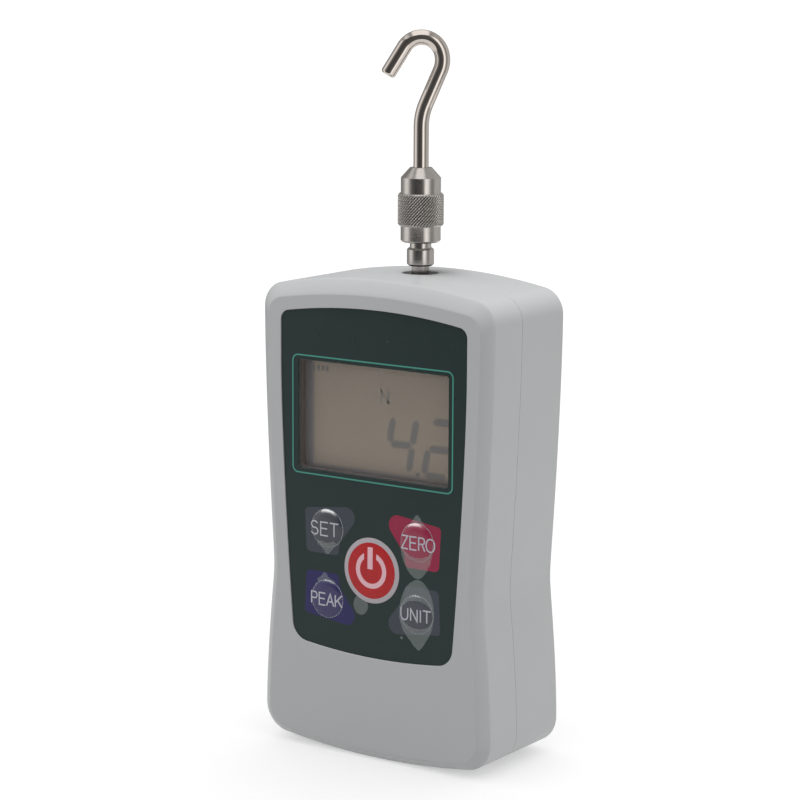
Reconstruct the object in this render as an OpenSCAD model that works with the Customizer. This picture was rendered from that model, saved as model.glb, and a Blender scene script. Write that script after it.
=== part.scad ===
// Hand dynamometer with a digital display: a bending-beam load cell, circuit board, display and
// keys in a two-part moulded housing, and a swivel hook held by a knurled chuck on the spindle.
// Millimetres. X runs to the right, Y from the front face to the back and Z up. The origin is
// under the middle of the housing, on the surface that it stands on.

/* [Housing] */
// Height of the housing, without the spindle
body_h = 150; // [148:1:156]
// Width across the shoulders
body_w = 85.7; // [85:0.1:88]
// Depth from the front face to the back face
body_d = 43.5; // [43:0.5:46]
// Width at the waist
waist_w = 78.6; // [77:0.1:80]
// Height of the waist
waist_z = 56; // [54:1:58]
// Width just above the bottom corners
foot_w = 85.2; // [84:0.1:86]
// Radius of the crowned top
crown_r = 200; // [180:5:300]
// Radius of the curved base
base_r = 250; // [220:5:350]
// Width of the soft bevel round the front and back faces
edge_inset = 3.6; // [3:0.1:4]
// Depth of that bevel
edge_depth = 2.9; // [2.6:0.1:3]
// Thickness of the walls
wall = 2.6; // [2.2:0.1:2.8]
// Distance of the parting line behind the front face
parting_d = 17.5; // [17:0.5:18]

/* [Front panel] */
// Height of the top of the printed panel
panel_top_z = 141.1; // [140:0.1:142]
// Height of the bottom of the printed panel
panel_base_z = 32.6; // [31:0.1:34]
// Width of the panel at the top
panel_w = 69.2; // [68:0.1:70]
// Depth of the recess that holds the panel
recess_d = 0.9; // [0.8:0.1:1]
// Thickness of the printed film
film_t = 0.5; // [0.3:0.1:0.5]
// Width of the display window
window_w = 56; // [54:0.5:56]
// Height of the display window
window_h = 34.4; // [32:0.1:35]
// Height of the middle of the window
window_z = 106.5; // [106:0.5:107]

/* [Keys] */
// Radius of a small key
key_r = 6.1; // [5.8:0.1:6.2]
// Radius of the power key
power_r = 10.3; // [9.5:0.1:10.4]
// Distance of the small keys from the centre line
key_x = 16.9; // [16.8:0.1:17.5]
// Height of the upper row of keys
upper_key_z = 71.4; // [71:0.1:72]
// Height of the power key
power_key_z = 60.3; // [60:0.1:61]
// Height of the lower row of keys
lower_key_z = 48.9; // [48:0.1:49]
// How far a key travels
key_travel = 0.4; // [0.2:0.1:0.4]
// How far a key's dome rises above the film
dome_h = 0.35; // [0.2:0.05:0.4]

/* [Spindle and chuck] */
// Distance of the spindle's axis behind the front face
axis_d = 25.9; // [25.5:0.1:26.5]
// Radius of the visible shaft
shaft_r = 2.77; // [2.5:0.01:2.85]
// Radius of the clearance hole in the top of the housing
spindle_hole_r = 5.63; // [5:0.01:6]
// Radius of the spindle's collar
collar_r = 4.2; // [4:0.1:4.5]
// Radius of the neck under the chuck
neck_r = 3.33; // [3.2:0.01:3.5]
// Radius of the threaded stud, M6
stud_r = 2.95; // [2.9:0.01:2.98]
// Radius of the chuck's plain ends
chuck_r = 6.2; // [6:0.1:6.5]
// Radius over the knurled band
knurl_r = 7.2; // [7:0.1:7.6]
// Number of teeth drawn round the knurled band
knurl_teeth = 44; // [36:1:60]

/* [Hook] */
// Radius of the hook's wire
wire_r = 2.35; // [2.2:0.05:2.4]
// Angle of the hook's plane from the front face
hook_turn = 34.8; // [0:0.1:90]
// Radius of the hook's bend, to the middle of the wire
hook_bend_r = 6.26; // [6:0.01:7]
// Radius where the bend opens out towards the stem
hook_side_r = 8; // [7.5:0.1:8.5]
// Height of the centre of the hook's bend
hook_z = 215.8; // [212:0.1:218]
// Length of the straight tail
tail_len = 9.9; // [8:0.1:11]

/* [Load cell] */
// Width of the beam, front to back
beam_d = 12; // [10:1:12]
// Height of the beam
beam_h = 14; // [13:1:14]
// Radius of the two holes that make the beam bend
beam_hole_r = 3.6; // [3.2:0.1:3.8]
// Gap over the overload stop
stop_gap = 0.4; // [0.35:0.05:0.6]

/* [Battery, ports and stand] */
// Radius of one battery cell
cell_r = 5.2; // [5:0.05:5.25]
// Length of one battery cell
cell_len = 44.5; // [40:0.5:45]
// Spacing of the stand's threaded inserts across the back
stand_x = 50; // [48:1:52]
// Spacing of the stand's threaded inserts up the back
stand_z = 60; // [58:1:60]
// Radius of an insert's thread, M4
insert_bore_r = 2; // [1.8:0.05:2.1]

/* [Hidden] */
$fn = 48;

// Housing outline: two long side curves meet in a soft waist.
front_y = -body_d / 2;
side_power = 1.6;
waist_blend = 0.6;
shoulder_z = body_h - 11.2;
foot_z = 11.35;
top_corner_r = 8;
base_corner_r = 9;
crown_inset = 5;
crown_face_r = 20;
bevel_profile = [[1, 0], [0.86, 0.08], [0.08, 0.8], [0, 1]];
inner_d = 3;
lip_d = 1.8;
lip_outer = 1.45;
fit_gap = 0.1;

// Panel outline: the sides draw in towards the bottom.
panel_draw = 4.85;
panel_straight_z = 122;
panel_draw_h = 88;
panel_power = 1.5;
panel_arc_r = 200;

// Fasteners of the housing.
case_posts = [[-34.85, 135.5], [34.85, 135.5], [-34.8, 13], [34.8, 13]];
case_post_r = 3.8;
case_screw_r = 1.45;
case_head_r = 2.8;
case_head_h = 2;
case_seat_d = 30;
case_screw_tip_d = 9;
board_posts = [[-20, 132.5], [20, 132.5], [-27, 38], [27, 38]];
board_post_r = 3;

// Blank label in a shallow recess of the back.
label_half = 22;
label_half_h = 14;
label_z = 112;
label_recess = 0.3;
label_t = 0.18;
label_gap = 0.2;

// Stack behind the front wall, each as a distance behind the front face.
lens_t = 1;
gasket_t = 0.5;
lcd_t = 2.8;
lcd_d = inner_d + lens_t + gasket_t;
board_d = 10;
board_t = 1.6;
board_half = 30.5;
board_z0 = 34;
board_z1 = 137;
board_back_d = board_d + board_t;
lens_margin = 1.3;
lcd_margin_x = 1.3;
lcd_margin_z = 3.55;
holder_wall = 1.2;

// Chips on the back of the board: left edge, bottom edge, width, height and thickness.
chips = [[-10, 83, 14, 14, 1.6], [10, 104, 8, 10, 1.8], [-16, 106, 6, 6, 1.8], [-6, 118, 12, 4, 2.2]];
buzzer_at = [24, 84];
buzzer_r = 6;
buzzer_t = 5.5;
header_x = [-29, -22];
header_z = [82, 96];
header_half = 3;
header_t = 5.8;
header_wall = 0.8;
header_floor = 1.4;

// Keys: position and radius of each, and the parts behind it.
power_at = [0, power_key_z, power_r];
set_at = [-key_x, upper_key_z, key_r];
zero_at = [key_x, upper_key_z, key_r];
peak_at = [-key_x, lower_key_z, key_r];
unit_at = [key_x, lower_key_z, key_r];
keys = [power_at, set_at, zero_at, peak_at, unit_at];
key_gap = 0.05;
pocket_gap = 0.35;
pocket_d = key_travel + 0.5;
dome_power = 4;
plunger_gap = 0.3;
plunger_inset = 3.7;
plunger_tip_r = 1.65;
flange_d = 3.4;
flange_t = 1;
flange_over = 1.3;
tip_end_d = 6.4;
switch_d = 6;
switch_side = 6.2;

// Spindle and chuck heights.
axis_y = front_y + axis_d;
shaft_top_z = 152.2;
collar_top_z = 157.7;
neck_top_z = 159.4;
stud_top_z = 169;
chuck_z = 159.5;
band_z = 164.5;
band_top_z = 174.6;
cone_z = 179.4;
chuck_top_z = 182.5;
bore_r = 4.4;
shoulder_in_z = 178.7;
stem_fit = 0.06;
thread_fit = 0.06;
washer_t = 0.9;
bush_top_z = 174.9;
head_r = 4;
head_t = 3.2;
head_gap = 0.3;

// Hook: the side bend and the straight part lean over the stem, then a wide bend turns upright.
tail_a = 148.5;
side_a = 20;
lean_a = 23;
foot_bend_r = 18;
tip_chamfer = 0.6;
stem_r = wire_r + 0.03;

// Load cell: fixed at its left end, loaded at the spindle's axis.
beam_x0 = -38;
beam_x1 = 8;
beam_z = 112;
beam_hole_x = [-17, -8.5];
beam_screw_x = [-33, -25];
beam_screw_r = 1.95;
beam_slot_h = 2.4;
plate_d = 34.5;
plate_t = 2.5;
plate_x1 = 25;
plate_z0 = 90;
plate_z1 = 131;
arm_z = 98;
arm_t = 6;
bracket_posts = [[-33, 94], [20.5, 94], [-33, 127.5], [20.5, 127.5]];
bracket_post_r = 4;
stop_x = 4;

// Battery: two rows of three cells in a tray on the back wall.
tray_wall = 1.3;
tray_half = 18;
tray_z0 = 27.5;
tray_h = 50;
cell_z = tray_z0 + (tray_h - cell_len) / 2;
back_in_d = body_d - wall;
strap_z = [46, 56];
strap_over = 5;
strap_screw_z = 51;
strap_t = 1.2;

// Internal leads, as the points that each passes through.
lead_r = 0.7;
battery_route = [[14, 2, 79], [8, 1, 84], [-6, 0, 86], [-18, -1, 84], [-24, -2, 82], [-25.5, -4.2, 81]];
battery_return = [
    [14.6, 3.6, 80], [8.6, 2.6, 85.4], [-5.6, 1.6, 87.4], [-16.8, 0.8, 85.6], [-21.9, -1.6, 83],
    [-23.6, -4.2, 81]
];
sensor_route = [[-27, -3, 114], [-27.6, -3.1, 110], [-27.4, -3.1, 103], [-26.8, -3.3, 99], [-26.5, -4.2, 96]];

// Ports in the left wall.
port_d = 27;
jack_z = 68;
jack_r = 4.9;
jack_flange_r = 6.3;
jack_bore_r = 3;
jack_seat = 0.7;
data_z = 50;
data_w = 7.7;
data_h = 3.9;
data_shell = 0.35;
data_len = 9.2;
data_inside = 8.4;
port_board_x = [-36.5, -24];
port_board_half = 8;
tongue_half = 2.4;

// Threaded inserts in the back.
stand_mid_z = 52;
insert_r = 2.8;
insert_len = 8;
insert_post_r = 5.2;

// Distance behind the front face, as a Y coordinate.
function at(d) = front_y + d;

function insert_places() =
    [for (x = [-1, 1], z = [-1, 1]) [x * stand_x / 2, stand_mid_z + z * stand_z / 2]];

function soft_max(a, b, e) = (a + b + sqrt(pow(a - b, 2) + e * e)) / 2;

function upper_half(z) = body_w / 2 - (body_w - waist_w) / 2
    * pow(max(0, shoulder_z - z) / (shoulder_z - waist_z), side_power);

function lower_half(z) = foot_w / 2 - (foot_w - waist_w) / 2
    * pow(max(0, z - foot_z) / (waist_z - foot_z), side_power);

function body_half(z) = soft_max(upper_half(z), lower_half(z), waist_blend);

function panel_half(z) = panel_w / 2
    - panel_draw * pow(max(0, panel_straight_z - z) / panel_draw_h, panel_power);

function arc(cx, cz, r, a0, a1, n) =
    [for (i = [0:n]) let (a = a0 + (a1 - a0) * i / n) [cx + r * cos(a), cz + r * sin(a)]];

function tail_of(list) = [for (i = [1:len(list) - 1]) list[i]];

// Height of a corner's centre, where it is tangent inside the arc of radius big_r.
function corner_z(cx, big_r, r) = sqrt(pow(big_r - r, 2) - cx * cx);

// Right half of a closed outline, from its top middle down to its bottom middle.
function half_outline(half, top_z, top_r, low_z, low_r, r_top, r_low, n_arc, n_corner, n_side) =
    let (
        cx_t = half(top_z - 1.4 * r_top) - r_top,
        cz_t = top_z - top_r + corner_z(cx_t, top_r, r_top),
        cx_b = half(low_z + 1.2 * r_low) - r_low,
        cz_b = low_z + low_r - corner_z(cx_b, low_r, r_low),
        a_t = atan2(cz_t - top_z + top_r, cx_t),
        a_b = -atan2(low_z + low_r - cz_b, cx_b)
    )
    concat(
        arc(0, top_z - top_r, top_r, 90, a_t, n_arc),
        tail_of(arc(cx_t, cz_t, r_top, a_t, 0, n_corner)),
        [for (i = [1:n_side - 1]) let (z = cz_t + (cz_b - cz_t) * i / n_side) [half(z), z]],
        arc(cx_b, cz_b, r_low, 0, a_b, n_corner),
        tail_of(arc(0, low_z + low_r, low_r, a_b, -90, n_arc))
    );

// Whole outline: the right half, then its mirror image back up the left side.
function whole(half) = concat(half, [for (i = [len(half) - 2:-1:1]) [-half[i][0], half[i][1]]]);

// Outline of the housing, drawn in by side at the sides, top at the crown and low at the base.
function body_outline(side, top, low, corner) =
    whole(half_outline(
        function (z) body_half(z) - side, body_h - top, crown_r - top + crown_face_r * top / crown_inset,
        low, base_r - low, top_corner_r - corner, base_corner_r - corner, 6, 5, 14));

// Outline at k of the way up the bevel, from 0 at the wall to 1 at the face.
function bevel_outline(k) = body_outline(edge_inset * k, crown_inset * k, edge_depth * k, 2.4 * k);

// Outline drawn in evenly by t.
function inner_outline(t) = body_outline(t, t, t, t);

function panel_outline(t) =
    whole(half_outline(
        function (z) panel_half(z) - t, panel_top_z - t, panel_arc_r, panel_base_z + t, panel_arc_r,
        3.2 - t, 6 - t, 6, 4, 8));

function at_depth(outline, y) = [for (p = outline) [p[0], y, p[1]]];

// Solid through rings of points. Each ring runs the same way round and is mirrored about X = 0.
module loft(rings) {
    n = len(rings[0]);
    last = (len(rings) - 1) * n;
    points = [for (ring = rings) each ring];
    sides = [
        for (r = [0:len(rings) - 2], j = [0:n - 1])
            let (a = r * n + j, b = r * n + (j + 1) % n)
            each [[a, a + n, b + n], [a, b + n, b]]
    ];
    front = concat(
        [[0, 1, n - 1]],
        [for (j = [1:n / 2 - 2]) each [[j, j + 1, n - j - 1], [j, n - j - 1, n - j]]],
        [[n / 2 - 1, n / 2, n / 2 + 1]]);
    back = [for (f = front) [last + f[2], last + f[1], last + f[0]]];
    polyhedron(points, concat(front, sides, back));
}

// Box between two corners, given as ranges.
module block(x, y, z) {
    translate([x[0], y[0], z[0]])
        cube([x[1] - x[0], y[1] - y[0], z[1] - z[0]]);
}

// Extrusion of a flat X-Z shape from depth d0 to depth d1 behind the front face.
module slab(d0, d1) {
    translate([0, at(d1), 0])
        rotate([90, 0, 0])
            linear_extrude(d1 - d0)
                children();
}

// Round bar along Y from depth d0 to depth d1.
module post(p, d0, d1, r) {
    translate([p[0], at(d1), p[1]])
        rotate([90, 0, 0])
            cylinder(h = d1 - d0, r = r);
}

module window_shape(margin) {
    translate([-window_w / 2 - margin, window_z - window_h / 2 - margin])
        square([window_w + 2 * margin, window_h + 2 * margin]);
}

// Screw that points down, with its seat at the origin and a cross slot in its head.
module screw(head_r, head_h, shank_r, length) {
    slot = head_r * 0.28;
    difference() {
        union() {
            translate([0, 0, -length])
                cylinder(h = length + head_h / 2, r = shank_r);
            cylinder(h = head_h * 0.7, r = head_r);
            translate([0, 0, head_h * 0.7])
                cylinder(h = head_h * 0.3, r1 = head_r, r2 = head_r * 0.8);
        }
        for (turn = [0, 90])
            rotate(turn)
                translate([-head_r * 0.6, -slot / 2, head_h * 0.45])
                    cube([head_r * 1.2, slot, head_h]);
    }
}

module hex_nut(across, h, bore) {
    difference() {
        cylinder(h = h, r = across / sqrt(3), $fn = 6);
        translate([0, 0, -1])
            cylinder(h = h + 2, r = bore);
    }
}

// Closed tube swept along points, with one radius for each.
module tube(path, radii, sides, reference) {
    n = len(path);
    points = [
        for (i = [0:n - 1])
            let (
                run = path[min(i + 1, n - 1)] - path[max(i - 1, 0)],
                across = cross(run, reference),
                side = across / norm(across),
                up = cross(run, side) / norm(run)
            )
            each [for (k = [0:sides - 1])
                path[i] + radii[i] * (cos(360 * k / sides) * side + sin(360 * k / sides) * up)]
    ];
    walls = [
        for (i = [0:n - 2], k = [0:sides - 1])
            let (a = i * sides + k, b = i * sides + (k + 1) % sides)
            each [[a, a + sides, b + sides], [a, b + sides, b]]
    ];
    end = (n - 1) * sides;
    caps = [for (k = [1:sides - 2]) each [[0, k, k + 1], [end, end + k + 1, end + k]]];
    polyhedron(points, concat(walls, caps));
}

// Point at t between points i and i + 1 of a smooth curve through hand-placed points.
function curve(p, i, t) =
    let (a = p[max(i - 1, 0)], b = p[i], c = p[i + 1], d = p[min(i + 2, len(p) - 1)])
    0.5 * (2 * b + (c - a) * t + (2 * a - 5 * b + 4 * c - d) * t * t
        + (3 * b - a - 3 * c + d) * t * t * t);

module lead(route, shift) {
    steps = 4;
    path = concat(
        [for (i = [0:len(route) - 2], k = [0:steps - 1]) curve(route, i, k / steps) + shift],
        [route[len(route) - 1] + shift]);
    tube(path, [for (p = path) lead_r], 8, [1, 1, 1]);
}

// ---- Housing ----

module front_cover() {
    color("#b9babc")
        difference() {
            union() {
                loft(concat(
                    [for (b = bevel_profile) at_depth(bevel_outline(b[0]), at(edge_depth * b[1]))],
                    [at_depth(bevel_outline(0), at(parting_d))]));
                slab(parting_d - 1, parting_d + lip_d)
                    polygon(inner_outline(lip_outer));
            }
            difference() {
                slab(inner_d, parting_d + lip_d + 1)
                    polygon(inner_outline(wall));
                for (p = case_posts)
                    post(p, inner_d - 1, parting_d + lip_d, case_post_r);
                for (p = board_posts)
                    post(p, inner_d - 1, board_d, board_post_r);
            }
            slab(-1, recess_d)
                polygon(panel_outline(0));
            slab(0, inner_d + 1)
                window_shape(0);
            for (k = keys) {
                post(k, 0, recess_d + pocket_d, k[2] + pocket_gap);
                post(k, 0, inner_d + 1, k[2] - plunger_inset + plunger_gap);
            }
            for (p = case_posts)
                post(p, case_screw_tip_d - 1, parting_d + lip_d + 1, case_screw_r + fit_gap / 2);
            for (p = board_posts)
                post(p, 5, board_d + 1, 1.05);
        }
}

module rear_cover() {
    color("#b9babc")
        difference() {
            loft(concat(
                [at_depth(bevel_outline(0), at(parting_d))],
                [for (i = [len(bevel_profile) - 1:-1:0])
                    at_depth(bevel_outline(bevel_profile[i][0]),
                        at(body_d - edge_depth * bevel_profile[i][1]))]));
            slab(parting_d - 1, parting_d + lip_d + fit_gap)
                polygon(inner_outline(lip_outer - fit_gap));
            difference() {
                slab(parting_d - 1, back_in_d)
                    polygon(inner_outline(wall));
                for (p = case_posts)
                    post(p, parting_d, back_in_d + 1, case_post_r);
                for (p = bracket_posts)
                    post(p, plate_d + plate_t, back_in_d + 1, bracket_post_r);
                for (p = insert_places())
                    post(p, body_d - insert_len - 1.6, back_in_d + 1, insert_post_r);
            }
            for (p = case_posts) {
                post(p, parting_d - 1, body_d + 1, case_screw_r + 0.25);
                post(p, case_seat_d, body_d + 1, case_head_r + 0.35);
            }
            for (p = bracket_posts)
                post(p, plate_d + plate_t - 1, back_in_d + 0.8, 1.45);
            for (p = insert_places())
                post(p, body_d - insert_len, body_d + 1, insert_r + fit_gap / 2);
            translate([0, axis_y, body_h - 6])
                cylinder(h = 8, r = spindle_hole_r);
            translate([-body_w, at(port_d), jack_z])
                rotate([0, 90, 0])
                    cylinder(h = body_w / 2 + 10, r = jack_r + fit_gap);
            at_left_wall(jack_z)
                translate([0, 0, -jack_seat])
                    cylinder(h = 5, r = jack_flange_r + fit_gap);
            block([-body_w, -body_w / 2 + 10],
                [at(port_d) - fit_gap, at(port_d) + data_h + fit_gap],
                [data_z - data_w / 2 - fit_gap, data_z + data_w / 2 + fit_gap]);
            block([-label_half, label_half], [at(body_d - label_recess), at(body_d + 1)],
                [label_z - label_half_h, label_z + label_half_h]);
        }
}

module case_screws() {
    color("#8c8f93")
        for (p = case_posts)
            translate([p[0], at(case_seat_d), p[1]])
                rotate([-90, 0, 0])
                    screw(case_head_r, case_head_h, case_screw_r, case_seat_d - case_screw_tip_d);
}

module rear_label() {
    color("#c9cbcc")
        block([-label_half + label_gap, label_half - label_gap],
            [at(body_d - label_recess), at(body_d - label_recess + label_t)],
            [label_z - label_half_h + label_gap, label_z + label_half_h - label_gap]);
}

// ---- Front panel and display ----

module overlay_film() {
    color("#2f3a37")
        slab(recess_d - film_t, recess_d)
            difference() {
                polygon(panel_outline(fit_gap));
                window_shape(0);
                for (k = keys)
                    translate([k[0], k[1]])
                        circle(r = k[2] + key_gap);
            }
}

module display_window() {
    color("#cfd6d2")
        slab(inner_d, inner_d + lens_t)
            window_shape(lens_margin);
}

module window_gasket() {
    color("#1d1e1f")
        slab(inner_d + lens_t, lcd_d)
            difference() {
                window_shape(lens_margin);
                window_shape(0.3);
            }
}

module lcd_panel() {
    color("#807770")
        slab(lcd_d, lcd_d + lcd_t)
            lcd_shape(0);
}

module lcd_shape(margin) {
    half_x = window_w / 2 + lcd_margin_x + margin;
    half_z = window_h / 2 + lcd_margin_z + margin;
    translate([-half_x, window_z - half_z])
        square([2 * half_x, 2 * half_z]);
}

module lcd_holder() {
    color("#25282a")
        slab(lcd_d - 0.3, board_d)
            difference() {
                lcd_shape(holder_wall);
                lcd_shape(fit_gap);
            }
}

module lcd_connectors() {
    color("#d98cb0")
        for (side = [-1, 1])
            translate([0, 0, window_z + side * 18.4])
                block([-27, 27], [at(lcd_d + lcd_t), at(board_d)], [-1, 1]);
}

module backlight_plate() {
    color("#e8ebe4")
        block([-28, 28], [at(lcd_d + lcd_t + 0.2), at(board_d - 0.5)], [window_z - 16, window_z + 16]);
}

// ---- Circuit board ----

module main_board() {
    color("#1f6b3c")
        difference() {
            block([-board_half, board_half], [at(board_d), at(board_back_d)], [board_z0, board_z1]);
            for (p = board_posts)
                post(p, board_d - 1, board_back_d + 1, 1.3);
        }
}

module board_screws() {
    color("#b4b7ba")
        for (p = board_posts)
            translate([p[0], at(board_back_d), p[1]])
                rotate([-90, 0, 0])
                    screw(2.3, 1.6, 1, 5);
}

module tact_switches() {
    color("#3a3c3f")
        for (k = keys)
            difference() {
                block([k[0] - switch_side / 2, k[0] + switch_side / 2],
                    [at(switch_d), at(board_d)],
                    [k[1] - switch_side / 2, k[1] + switch_side / 2]);
                post(k, switch_d - 1, switch_d + 1.4, plunger_tip_r + 0.3);
            }
}

module board_chips() {
    color("#202224")
        for (chip = chips)
            block([chip[0], chip[0] + chip[2]], [at(board_back_d), at(board_back_d + chip[4])],
                [chip[1], chip[1] + chip[3]]);
}

module buzzer() {
    color("#18191a")
        post(buzzer_at, board_back_d, board_back_d + buzzer_t, buzzer_r);
}

module board_headers() {
    color("#ece9dd")
        for (z = header_z)
            difference() {
                block(header_x, [at(board_back_d), at(board_back_d + header_t)],
                    [z - header_half, z + header_half]);
                block([header_x[0] + header_wall, header_x[1] - header_wall],
                    [at(board_back_d + header_floor), at(board_back_d + header_t + 1)],
                    [z - header_half + header_wall, z + header_half - header_wall]);
            }
}

// ---- Load cell ----

module load_cell() {
    mid = beam_z + beam_h / 2;
    color("#c7cace")
        difference() {
            block([beam_x0, beam_x1], [axis_y - beam_d / 2, axis_y + beam_d / 2],
                [beam_z, beam_z + beam_h]);
            for (x = beam_hole_x)
                translate([x, axis_y + beam_d, mid])
                    rotate([90, 0, 0])
                        cylinder(h = 2 * beam_d, r = beam_hole_r);
            block([beam_hole_x[0], beam_hole_x[1]], [axis_y - beam_d, axis_y + beam_d],
                [mid - beam_slot_h / 2, mid + beam_slot_h / 2]);
            for (x = beam_screw_x)
                translate([x, axis_y, beam_z - 1])
                    cylinder(h = beam_h + 2, r = beam_screw_r + 0.2);
            translate([0, axis_y, beam_z - 1])
                cylinder(h = beam_h + 2, r = stud_r + fit_gap / 2);
        }
}

module strain_gauges() {
    color("#c77f3a")
        for (x = beam_hole_x, z = [beam_z - 0.3, beam_z + beam_h])
            block([x - 2.5, x + 2.5], [axis_y - 3, axis_y + 3], [z, z + 0.3]);
}

module load_cell_bracket() {
    color("#9fa3a8")
        difference() {
            union() {
                block([beam_x0, plate_x1], [at(plate_d), at(plate_d + plate_t)], [plate_z0, plate_z1]);
                block([beam_x0, beam_x1 + 2], [axis_y - beam_d / 2, at(plate_d + 0.5)],
                    [arm_z, arm_z + arm_t]);
                block([beam_x0, -21], [axis_y - beam_d / 2, axis_y + beam_d / 2],
                    [arm_z + arm_t - 0.5, beam_z]);
            }
            for (x = beam_screw_x)
                translate([x, axis_y, arm_z + 2])
                    cylinder(h = beam_z, r = beam_screw_r + fit_gap / 2);
            translate([stop_x, axis_y, arm_z - 1])
                cylinder(h = arm_t + 2, r = beam_screw_r + fit_gap / 2);
            for (p = bracket_posts)
                post(p, plate_d - 1, plate_d + plate_t + 1, 1.6);
        }
}

module load_cell_screws() {
    color("#4c4f53")
        for (x = beam_screw_x)
            translate([x, axis_y, beam_z + beam_h])
                difference() {
                    union() {
                        cylinder(h = 4, r = 3.5);
                        translate([0, 0, -beam_h - 9])
                            cylinder(h = beam_h + 10, r = beam_screw_r);
                    }
                    translate([0, 0, 2])
                        cylinder(h = 4, r = 1.73, $fn = 6);
                }
}

module bracket_screws() {
    color("#8c8f93")
        for (p = bracket_posts)
            translate([p[0], at(plate_d), p[1]])
                rotate([90, 0, 0])
                    screw(2.8, 1.9, 1.4, plate_t + 4);
}

module overload_screw() {
    color("#4c4f53")
        translate([stop_x, axis_y, arm_z - 4])
            difference() {
                cylinder(h = beam_z - stop_gap - arm_z + 4, r = beam_screw_r);
                translate([0, 0, -1])
                    cylinder(h = 3, r = 1.15, $fn = 6);
            }
}

module overload_nut() {
    color("#8c8f93")
        translate([stop_x, axis_y, arm_z + arm_t])
            hex_nut(7, 3.2, beam_screw_r + fit_gap / 2);
}

// ---- Battery ----

module battery_cells() {
    color("#2f6f4f")
        for (column = [-1:1], row = [0, 1])
            translate([column * (2 * cell_r + 0.2), at(back_in_d - tray_wall - 0.2 - cell_r
                - row * (2 * cell_r + 0.2)), cell_z]) {
                cylinder(h = cell_len - 0.8, r = cell_r);
                translate([0, 0, cell_len - 1])
                    cylinder(h = 1, r = 1.9);
            }
}

module battery_tray() {
    color("#33363a")
        difference() {
            union() {
                block([-tray_half, tray_half], [at(parting_d + 0.5), at(back_in_d)],
                    [tray_z0, tray_z0 + tray_h]);
                block([-tray_half - strap_over, tray_half + strap_over],
                    [at(parting_d + 0.5), at(parting_d + 6)], strap_z);
            }
            block([-tray_half + tray_wall, tray_half - tray_wall],
                [at(parting_d - 1), at(back_in_d - tray_wall)],
                [tray_z0 + tray_wall, tray_z0 + tray_h - tray_wall]);
            for (x = [-1, 1])
                post([x * (tray_half + strap_over / 2), strap_screw_z], parting_d - 1, parting_d + 5, 1.05);
        }
}

module battery_retainer() {
    color("#b4b7ba")
        difference() {
            block([-tray_half - strap_over, tray_half + strap_over],
                [at(parting_d + 0.5 - strap_t), at(parting_d + 0.5)], strap_z);
            for (x = [-1, 1])
                post([x * (tray_half + strap_over / 2), strap_screw_z], parting_d - 2, parting_d + 2, 1.2);
        }
}

module retainer_screws() {
    color("#8c8f93")
        for (x = [-1, 1])
            translate([x * (tray_half + strap_over / 2), at(parting_d + 0.5 - strap_t), strap_screw_z])
                rotate([90, 0, 0])
                    screw(2, 1.4, 1, 5);
}

// ---- Ports and stand mount ----

// Turns a child that points up so that it points out through the left wall at height z.
module at_left_wall(z) {
    translate([-body_half(z), at(port_d), z])
        rotate([0, -90, 0])
            children();
}

module power_jack() {
    color("#1b1c1e")
        at_left_wall(jack_z)
            difference() {
                union() {
                    translate([0, 0, -12.5])
                        cylinder(h = 13, r = jack_r);
                    translate([0, 0, -jack_seat])
                        cylinder(h = 1.4, r = jack_flange_r);
                }
                translate([0, 0, -9])
                    cylinder(h = 12, r = jack_bore_r);
                translate([0, 0, -12])
                    cylinder(h = 12, r = 1);
            }
}

module jack_pin() {
    color("#c9b26a")
        at_left_wall(jack_z)
            translate([0, 0, -12])
                cylinder(h = 11.5, r = 0.98);
}

module jack_nut() {
    color("#b4b7ba")
        at_left_wall(jack_z)
            translate([0, 0, -wall - 2.5])
                hex_nut(12.5, 2, jack_r + fit_gap / 2);
}

module data_port() {
    color("#b4b7ba")
        difference() {
            data_block(0, data_len);
            data_block(data_shell, data_inside);
        }
}

// Box of the data port's shell, drawn in by t, from the outer wall inwards.
module data_block(t, length) {
    x0 = -body_half(data_z) + 0.3;
    block([x0 - (t > 0 ? 1 : 0), x0 + length], [at(port_d) + t, at(port_d) + data_h - t],
        [data_z - data_w / 2 + t, data_z + data_w / 2 - t]);
}

module data_port_tongue() {
    color("#1b1c1e")
        block([-body_half(data_z) + 1.3, -body_half(data_z) + 0.3 + data_inside],
            [at(port_d) + 1.4, at(port_d) + 2.3], [data_z - tongue_half, data_z + tongue_half]);
}

module port_board() {
    color("#1f6b3c")
        block(port_board_x, [at(port_d) + data_h, at(port_d) + data_h + board_t],
            [data_z - port_board_half, data_z + port_board_half]);
}

module stand_inserts() {
    color("#c2a14d")
        for (p = insert_places())
            difference() {
                post(p, body_d - insert_len, body_d - 0.05, insert_r);
                post(p, body_d - insert_len - 1, body_d + 1, insert_bore_r);
            }
}

module battery_leads() {
    color("#b5342e") {
        lead(battery_route, [0, 0, 0]);
        lead(battery_return, [0, 0, 0]);
    }
}

module sensor_leads() {
    color("#3c5c8a") {
        lead(sensor_route, [0, 0, 0]);
        lead(sensor_route, [1.8, 0, 0]);
    }
}

// ---- Keys ----

// Printed dome of one key: a thin disc whose face swells towards the user.
module key_dome(k) {
    steps = 8;
    translate([k[0], at(recess_d), k[1]])
        rotate([90, 0, 0])
            rotate_extrude()
                polygon(concat(
                    [[0, 0], [k[2], 0]],
                    [for (i = [0:steps]) let (f = 1 - i / steps)
                        [k[2] * f, film_t + dome_h * (1 - pow(f, dome_power))]]));
}

// Plunger behind a key: a barrel in the cover's hole, a flange that holds it in and a tip that
// reaches into the switch.
module plunger(k) {
    r = k[2] - plunger_inset;
    post(k, recess_d, flange_d + 0.5, r);
    post(k, flange_d, flange_d + flange_t, r + flange_over);
    post(k, flange_d, tip_end_d, plunger_tip_r);
}

module power_key() {
    color("#b9262b") key_dome(power_at);
}

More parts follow.
